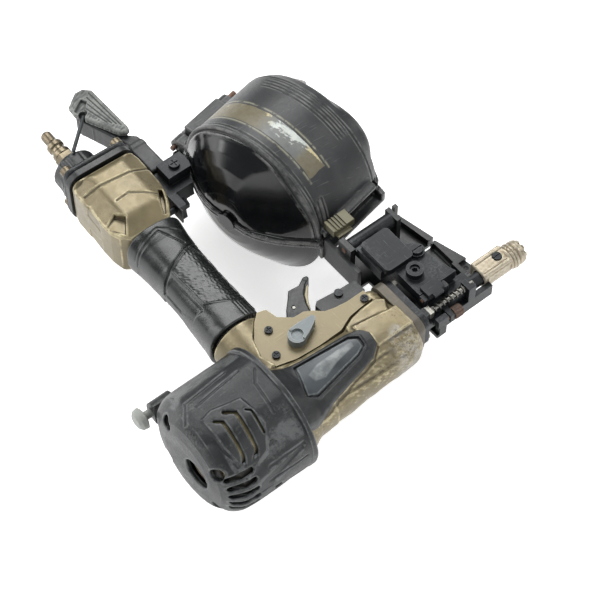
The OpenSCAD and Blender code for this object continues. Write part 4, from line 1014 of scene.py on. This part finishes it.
def grip_piece():
    g = Grid((-25, 61, -24), (25, 162, 24), 0.5 * HS)
    x, y, z = g.x, g.y, g.z
    # soft rounded-square section that swells at both ends
    yy = g.y[0, :, 0]
    R = np.interp(yy, [61, 64, 72, 84, 105, 128, 146, 156, 162], [21.6, 21.5, 20.6, 19.9, 19.3, 19.3, 20.4, 21.8, 22.2]).astype(f32)[None, :, None]
    q = (np.abs(x) ** 2.6 + np.abs(z * 1.02) ** 2.6) ** (1 / 2.6)
    F = (q - R) * 0.93
    F = rnd(F, slab(y, 63.4, 159.7), 1.2)
    up = np.abs(z)
    # arrow-shaped collar seam near the end block
    d = line2(x, y, [(20, 136.5), (11.4, 134.1), (-9.7, 124.6), (-16, 121.0), (-20.3, 117.6)])
    F = np.where(up > 2, dent(F, d, 0.75, 1.2), F)
    d = line2(x, y, [(-20, 148.4), (0.6, 153.0), (10, 136.5)])
    F = np.where(up > 2, dent(F, d, 0.6, 0.6), F)
    d = line2(x, y, [(-20, 151), (0.6, 155.6), (14, 147)])
    F = np.where(up > 2, dent(F, d, 0.5, 0.45), F)
    # recessed textured panel
    pan = poly2(x, y, [(10.5, 132.2), (16, 122), (16.5, 79), (13.4, 77.4), (-7.6, 88.6), (-9.4, 122.6)])
    tex = np.clip(0.5 - pan / 0.8, 0, 1) * (up > 3)
    peb = 0.11 * noise3(x, y, z, 1.9, 41)
    F = F + tex * (0.45 + peb)
    ridge = np.exp(-(((pan - 0.8) / 0.6) ** 2)) * (up > 3)
    F = F - 0.35 * ridge
    # slim recessed strip on the back of the hand side
    st = poly2(x, y, [(-19.4, 118.6), (-12.8, 118.2), (-11.4, 85.0), (-18.6, 86.6)])
    F = F + np.clip(0.5 - st / 0.9, 0, 1) * 0.7 * (up > 3)
    # grooves round the front of the grip for the fingers
    for yc in (84, 96, 108, 120, 132):
        F = F + (0.55 * np.exp(-(((y - yc) / 1.1) ** 2)) * np.clip((x - 13.5) / 3, 0, 1)).astype(f32)
    # fine ribs by the trigger plates
    for k in range(6):
        F = F + (0.28 * np.exp(-(((x - (8 + 2.2 * k)) / 0.5) ** 2)) * np.clip((80 - y) / 3, 0, 1) * (up > 6)).astype(f32)
    F = np.maximum(F, -(hyp(x, z) - 17.12 + 0 * y))
    # relief beside the trigger
    wx = -194.8 + x * math.cos(HR) - y * math.sin(HR)
    wy = x * math.sin(HR) + y * math.cos(HR)
    cut = poly2(wx, wy, [(-176, 58), (-150, 58), (-150, 76), (-166, 76), (-176, 66)])
    F = np.maximum(F, -cut - 0 * z)
    F = F + 0.05 * noise3(x, y, z, 9, 43)
    return field_piece("grip", g, F, MAT["rub"], "frame", ["grip_sleeve"], M_HAND)


def endcap_piece():
    g = Grid((-28, 220, -25), (29, 254, 25), 0.5 * HS)
    x, y, z = g.x, g.y, g.z
    F = rbox(x, y, z, -25.0, 26.0, 227.2, 234.0, -22.5, 22.5, 6)
    F = smin(F, rnd(hyp(x + 7.8, z) - 16.3, slab(y, 230, 246.5), 1.5), 2.5)
    F = smin(F, rnd(hyp(x + 7.8, z) - 12.6, slab(y, 236, 250), 2.0), 2.0)
    hexd = np.maximum(np.maximum(np.abs(x + 7.8), np.abs((x + 7.8) * 0.5 + z * 0.866)), np.abs((x + 7.8) * 0.5 - z * 0.866)) - 7.3
    F = smin(F, np.maximum(hexd, slab(y, 240, 252)), 0.6)
    # gussets between the collar and the plate
    for s in (1, -1):
        F = smin(F, rnd(poly2(x, y, [(8, 233), (20, 233), (8, 243), (6, 243)]), slab(s * z, 3, 6), 0.8), 1.2)
        F = smin(F, rnd(poly2(x, y, [(-22, 233), (-24.5, 233), (-22, 240)]), slab(s * z, 2, 6), 0.6), 1.0)
    for a in range(10):
        t = a * math.pi / 5
        d = hyp((x + 7.8) * math.cos(t) + z * math.sin(t) - 16.4, -(x + 7.8) * math.sin(t) + z * math.cos(t))
        F = np.where((y > 236) & (y < 246), dent(F, d, 0.9, 0.8), F)
    for bx_ in (-19.5, 21.5):
        for bz in (-16.5, 16.5):
            F = np.maximum(F, -np.maximum(hyp(x - bx_, z - bz) - 4.5, 232 - y))
            F = np.maximum(F, -np.maximum(hyp(x - bx_, z - bz) - 2.1, 220 - y))
    F = np.maximum(F, -np.maximum(hyp(x + 7.8, z) - 5.05, 230 - y))
    F = np.maximum(F, -np.maximum(hyp(x + 7.8, z) - 12, y - 240))
    F = F + 0.06 * noise3(x, y, z, 5, 51)
    field_piece("end_cap_shape", g, F, MAT["blk"], "frame", ["end_cap"], M_HAND)


def hook_piece():
    g = Grid((-174, 200, -12), (-142, 293, 16), 0.5 * HS)
    x, y, z = g.x, g.y, g.z
    F = rnd(poly2(x, y, [(-156.2, 234.5), (-156.2, 228), (-144.8, 228), (-146, 236), (-150.5, 240.5), (-150.5, 286), (-155, 290), (-163, 288), (-170, 276), (-168.5, 270)]), slab(z, -9, 8), 1.2)
    F = np.maximum(F, -rnd(poly2(x, y, [(-153.3, 246), (-153.3, 284), (-160, 284), (-163.5, 279)]), slab(z, -20, 5), 0.5))
    # ribs inside the paddle
    for a, b in (((-155, 256), (-166, 262)), ((-153, 268), (-168, 272))):
        F = np.minimum(F, rnd(line2(x, y, [a, b]) - 0.9, slab(z, -8, 6), 0.3) + np.maximum(0, poly2(x, y, [(-156.2, 234.5), (-156.2, 228), (-144.8, 228), (-146, 236), (-150.5, 240.5), (-150.5, 286), (-155, 290), (-163, 288), (-170, 276)])))
    strap = rbox(x, y, z, -157.5, -144.8, 203.8, 232, 2.6, 8, 1.6)
    F = smin(F, strap, 2.0)
    hub = rnd(hyp(x + 151, z + 2) - 6.4, slab(y, 203.5, 214), 0.8)
    F = smin(F, hub, 1.5)
    F = smin(F, rbox(x, y, z, -156, -146, 203.6, 213.8, -2, 4, 0.6), 1.0)
    F = np.maximum(F, -np.maximum(hyp(x + 151, z + 2) - 3.1, slab(y, 190, 230)))
    # rod from the corner down to the end cap
    a = np.array((-166.3, 272.2, 9.2))
    el, azr = math.radians(76.3), math.radians(225.5)
    dv = np.array((math.sin(el) * math.cos(azr), math.sin(el) * math.sin(azr), math.cos(el)))
    t = np.clip((x - a[0]) * dv[0] + (y - a[1]) * dv[1] + (z - a[2]) * dv[2], 0, 38)
    rod = np.sqrt((x - a[0] - t * dv[0]) ** 2 + (y - a[1] - t * dv[1]) ** 2 + (z - a[2] - t * dv[2]) ** 2) - 1.45
    stub = rnd(hyp(x + 166.3, y - 272.2) - 2.6, slab(z, -9, 9.6), 0.6)
    F = smin(F, smin(rod, stub, 1.2), 0.8)
    F = F + 0.04 * noise3(x, y, z, 6, 61)
    # the rod leaves the first grid, so it has a finer one of its own
    gr = Grid((-196, 240, 7), (-164, 276, 22), 0.45 * HS)
    xr, yr, zr = gr.x, gr.y, gr.z
    t = np.clip((xr - a[0]) * dv[0] + (yr - a[1]) * dv[1] + (zr - a[2]) * dv[2], 0, 38)
    R = np.sqrt((xr - a[0] - t * dv[0]) ** 2 + (yr - a[1] - t * dv[1]) ** 2 + (zr - a[2] - t * dv[2]) ** 2) - 1.45
    field_piece("hook_rod", gr, R, MAT["dark"], "hook", ["hook_arm"])
    field_piece("hook_paddle", g, F, MAT["blk"], "hook", ["hook_arm"])
    g = Grid((-174.5, 236, 6), (-145, 293, 16), 0.42 * HS)
    x, y, z = g.x, g.y, g.z
    pad = poly2(x, y, [(-149.2, 240.6), (-152.5, 239.4), (-156.3, 242.2), (-171.5, 275.5), (-170.8, 283), (-160, 291), (-153.5, 290.5), (-149, 285.5), (-148.4, 243)])
    F = rnd(pad, slab(z, 8.1, 14.2), 2.0)
    # moulded ribs along the pad, worn down at the end
    for i, off in enumerate((0, 2.6, 5.2, 7.8)):
        d = line2(x, y, [(-151.6 - off * 0.8, 247 + off), (-152.5 - off * 1.3, 284 - off)])
        F = np.where(z > 10, dent(F, d, 0.55, 0.9), F)
    F = smax(F, -np.maximum(poly2(x, y, [(-168.5, 268), (-162, 275), (-158, 279), (-160, 283), (-170, 277)]), 11.6 - z), 0.6)
    F = np.maximum(F, -np.maximum(hyp(x + 166.3, y - 272.2) - 3.2, -z))
    F = np.maximum(F, -np.maximum(line2(x, y, [(-166.3, 272.2), (-176, 262.3)]) - 2.2, -z))
    F = F + 0.09 * noise3(x, y, z, 3, 62)
    field_piece("hook_grip_pad", g, F, MAT["pad"], "hook", ["hook_pad"])


def trigger_piece():
    g = Grid((-166, 24, -6.2), (-125, 74, 6.2), 0.35 * HS)
    x, y, z = g.x, g.y, g.z
    P = [(-163.5, 31), (-162.4, 44), (-160.4, 51), (-156, 58), (-150, 64), (-145, 69.5), (-137, 68.5), (-131.5, 71.5), (-127.5, 71), (-128, 69), (-132.5, 66.5), (-138, 61.5), (-141.5, 55), (-143.5, 48), (-147, 41), (-152, 33), (-153, 27.5), (-158, 26), (-162, 27.5)]
    d = poly2(x, y, P)
    F = rnd(d, slab(z, -5, 5), 1.0)
    F = smin(F, rnd(hyp(x + 130, y - 69.6) - 1.9, slab(z, -5, 5), 0.9), 1.2)
    F = np.maximum(F, -np.maximum(poly2(x, y, [(-159, 36.5), (-158, 46.3), (-154, 59.8), (-147.4, 59.2), (-148.2, 46), (-148, 40), (-140, 36), (-152, 24), (-154, 36)]), np.abs(z) - 2.2))
    F = np.maximum(F, -(hyp(x + 158, y - 31) - 2.08 + 0 * z))
    F = np.maximum(F, -np.maximum(hyp(x + 150.5, y - 56.5) - 1.28, np.abs(z) - 6.5))
    seat = poly2(x, y, [(-129.5, 67.5), (-133, 65.8), (-138.6, 60.8), (-141.9, 54.6), (-144, 47.4), (-143, 47), (-140, 54), (-136, 60.4), (-131, 65.2), (-127, 67)])
    F = np.maximum(F, -np.maximum(seat, np.abs(z) - 4))
    F = F + 0.03 * noise3(x, y, z, 4, 71)
    field_piece("trigger_shape", g, F, MAT["blk"], "trigger", ["trigger"])


def tip_piece():
    g = Grid((-40, -13, -11), (1.5, 13, 11), 0.32 * HS)
    x, y, z = g.x, g.y, g.z
    r = hyp(y, z)
    F = rbox(x, y, z, -37.7, -12, -6.3, 9.2, -7.2, 7.2, 1.8)
    F = smin(F, rbox(x, y, z, -35, -14, -6.9, -2.0, -4.6, 4.6, 1.6), 1.0)
    head = revolve(g.x[:, 0, 0], r[0], [(-14, 0), (-14, 7.6), (-11.5, 8.8), (-8.8, 9.3), (-7.2, 8.3), (-5.6, 8.9), (-2.5, 8.6), (-0.2, 7.4), (-0.2, 0)], 14, g.h)
    F = smin(F, head, 1.4)
    # teeth round the mouth
    an = np.arctan2(z, y)
    cut = np.maximum(-(x + 2.6), np.maximum(5.8 - r, (np.abs(np.mod(an * 8 / (2 * math.pi) + 0.5, 1.0) - 0.5) * 2 * math.pi / 8) * r - 1.25))
    F = smax(F, -cut, 0.4)
    F = np.maximum(F, -np.maximum(r - 5.45, x + 4.9))
    F = np.maximum(F, -(r - 5.0 + 0 * x))
    F = np.maximum(F, -np.maximum(hyp(x + 20, y - 2) - 3.3, 5.7 - z))
    # flats, grooves and a round dimple in the skirt
    for pts in ([(-36, 5.4), (-14, 5.4)], [(-36, -3.4), (-16, -3.4)]):
        F = np.where(z > 4, dent(F, line2(x, y, pts), 0.45, 0.5), F)
    F = np.where(z > 2, dent(F, np.abs(hyp(x + 9.6, y - 0.4) - 2.6), 0.4, 0.3), F)
    for xx in (-12.4, -10.2):
        F = dent(F, hyp(x - xx, np.maximum(0, 7 - r)), 0.35, 0.35)
    F = F + 0.05 * noise3(x, y, z, 3, 81)
    field_piece("contact_tip", g, F, MAT["tip"], "contact_arm", ["contact_nose"])


def helix(name, p0, axis, length, R, w, turns, mat, n=26, k=9):
    T = int(round(turns * n))
    th = np.linspace(0, 2 * math.pi * turns, T + 1)
    # closed ground ends: the first and last turn lie nearly flat
    s = np.linspace(0, 1, T + 1)
    e = 1.0 / turns
    prof = np.interp(s, [0, e, 1 - e, 1], [0, 2.2 * w / length, 1 - 2.2 * w / length, 1])
    a = Vector(axis).normalized()
    b = a.orthogonal().normalized()
    c = a.cross(b)
    A, B, C = (np.array(v) for v in (a, b, c))
    ctr = np.array(p0)[None] + np.outer(prof * (length - 2 * w) + w, A) + R * (np.outer(np.cos(th), B) + np.outer(np.sin(th), C))
    tan = np.gradient(ctr, axis=0)
    tan /= np.linalg.norm(tan, axis=1)[:, None]
    n1 = np.outer(np.cos(th), B) + np.outer(np.sin(th), C)
    n2 = np.cross(tan, n1)
    ph = np.linspace(0, 2 * math.pi, k, endpoint=False)
    V = (ctr[:, None, :] + w * (np.cos(ph)[None, :, None] * n1[:, None, :] + np.sin(ph)[None, :, None] * n2[:, None, :])).reshape(-1, 3)
    q = []
    for i in range(T):
        for j in range(k):
            j2 = (j + 1) % k
            q.append((i * k + j, i * k + j2, (i + 1) * k + j2, (i + 1) * k + j))
    o = new_mesh(name, V, np.array(q))
    bm = bmesh.new()
    bm.from_mesh(o.data)
    ends = [e_ for e_ in bm.edges if len(e_.link_faces) == 1]
    bmesh.ops.holes_fill(bm, edges=ends, sides=0)
    bmesh.ops.recalc_face_normals(bm, faces=bm.faces)
    for fc in bm.faces:
        fc.smooth = True
    bm.to_mesh(o.data)
    bm.free()
    return o


cap_piece()
casting_piece()
panel_piece()
cover_piece()
window_piece()
base_piece()
grip_piece()
endcap_piece()
hook_piece()
trigger_piece()
tip_piece()

o = helix("contact_spring", (-84.8, -5, 10.5), (1, 0, 0), 28.7, 2.2, 0.5, 9, MAT["pin"])
setup(o, MAT["pin"], "frame", ["arm_spring"])
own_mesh(o)
o = helix("feeder_spring", (-62, 34, -21), (0, 1, 0), 15.8, 4.4, 0.55, 6, MAT["pin"])
setup(o, MAT["pin"], "frame", ["feed_spring"])
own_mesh(o)

o = helix("head_spring", (-261.9, 0, 0), (1, 0, 0), 4.8, 12, 0.7, 2.5, MAT["pin"])
setup(o, MAT["pin"], "frame", ["head_valve_spring"])
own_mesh(o)
o = helix("stem_spring", (-183.9, 45, 0), (1, 0, 0), 4.5, 3.3, 0.45, 4, MAT["pin"])
setup(o, MAT["pin"], "frame", ["valve_spring"])
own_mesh(o)

# ---------------------------------------------------------------- CAD-shaped pieces with rounded edges
for node, key, w in (
    ("nose_flange", "grey", 0.9), ("nose_guide", "dark", 0.45), ("end_spacer", "blk", 0.6), ("end_plate", "grey", 0.5), ("trigger_plates", "tan", 0.4),
    ("link_guard", "blk", 0.8), ("nail_guide", "blk", 0.5), ("feed_cylinder", "dark", 0.5), ("side_guard", "dark", 0.5), ("magazine_bracket", "dark", 0.6),
    ("trigger_inlay", "inlay", 0.6), ("contact_lever", "pin", 0.3), ("mode_lever", "lever", 0.7), ("contact_arm", "dark", 0.5), ("nose_screw", "dark", 0.3),
    ("depth_dial", "rust", 0.25), ("duster_button", "knob", 0.7), ("duster_boss", "cap", 0.9), ("feed_piston", "pin", 0.3), ("feed_pawl", "pin", 0.4), ("feed_door", "dark", 0.6),
    ("door_bolts", "dark", 0.3), ("door_latch", "dark", 0.5), ("cover_latch", "latch", 0.4), ("tray_post", "drum", 0.4), ("coil_tray", "blk", 0.4),
    ("air_plug", "brass", 0.3), ("cap_screws", "brass", 0.3), ("end_cap_bolts", "brass", 0.3), ("nose_bolts", "pin", 0.3),
    ("bracket_screws", "dark", 0.3), ("plate_screws", "dark", 0.2), ("trigger_pin", "pin", 0.25), ("hinge_pins", "rust", 0.3), ("cylinder_head", "head", 0.8),
    ("arm_guide_rod", "pin", 0.3), ("valve_body", "pin", 0.3), ("valve_stem", "pin", 0.2), ("piston", "pin", 0.4), ("head_valve", "dark", 0.4), ("bumper", "seal", 0.4),
):
    soften(node, MAT[key], w)

CADMAT = {"cylinder_sleeve": "pin", "head_seals": "seal", "driver_blade": "pin", "head_valve_spring": "pin", "valve_spring": "pin"}
for n, o in NODES.items():
    mat = MAT[CADMAT.get(n, "blk")]
    if not o.data.materials:
        o.data.materials.append(mat)
    for sl in o.material_slots:
        sl.link = "OBJECT"
        sl.material = mat

# ---------------------------------------------------------------- stage, light, camera


def stage_mat():
    m = N("studio_floor")
    c = m.mix(m.range(m.noise(3, 2), 0.4, 0.6), (0.93, 0.93, 0.93, 1), (0.95, 0.95, 0.95, 1))
    m.set(c, 0.9, 0.0)
    m.b.inputs["Specular IOR Level"].default_value = 0.0
    m.b.inputs["Emission Color"].default_value = (1, 1, 1, 1)
    m.b.inputs["Emission Strength"].default_value = 0.60
    return m.m


bm = bmesh.new()
bmesh.ops.create_grid(bm, x_segments=8, y_segments=8, size=6.0)
me = bpy.data.meshes.new("floor")
bm.to_mesh(me)
bm.free()
floor = bpy.data.objects.new("floor", me)
floor.location = (-0.12, 0.1, min(LO0[2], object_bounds()[0][2]) - 0.0003)
me.materials.append(stage_mat())
bpy.context.scene.collection.objects.link(floor)

w = bpy.data.worlds.new("studio")
bpy.context.scene.world = w
w.use_nodes = True
w.node_tree.nodes["Background"].inputs[0].default_value = (0.95, 0.97, 1.0, 1)
w.node_tree.nodes["Background"].inputs[1].default_value = 0.24


def area(name, loc, target, size, power, col=(1, 1, 1), sy=None):
    li = bpy.data.lights.new(name, "AREA")
    li.energy = power
    li.color = col
    li.shape = "RECTANGLE"
    li.size = size
    li.size_y = sy or size
    ob = bpy.data.objects.new(name, li)
    ob.location = loc
    ob.rotation_euler = (Vector(target) - Vector(loc)).to_track_quat("-Z", "Y").to_euler()
    bpy.context.scene.collection.objects.link(ob)
    return ob


T = (-0.13, 0.10, 0)
area("key", (0.35, 0.95, 1.3), T, 1.0, 21)
area("fill", (-1.3, -0.3, 0.9), T, 0.8, 6)
area("front", (0.2, -1.2, 0.7), T, 0.8, 4.5)
area("strip", (-0.9, 0.9, 0.55), T, 0.35, 8, sy=1.2)
area("rim", (0.75, -0.35, 0.9), T, 0.25, 5, sy=0.9)

cam = bpy.data.cameras.new("camera")
cam.lens = 120
cam.sensor_width = 36
cam.clip_start = 0.05
cam.clip_end = 50
co = bpy.data.objects.new("camera", cam)
right, up, fwd = Vector((0.7771, -0.6293, 0)).normalized(), Vector((0.5217, 0.6443, 0.5592)).normalized(), Vector((0.3519, 0.4346, -0.8290)).normalized()
R = Matrix((right, up, -fwd)).transposed().to_4x4()
co.matrix_world = Matrix.Translation((-0.608447, -0.515401, 1.099951)) @ R
bpy.context.scene.collection.objects.link(co)
bpy.context.scene.camera = co
bpy.context.scene.view_settings.view_transform = "Standard"

bpy.context.view_layer.update()
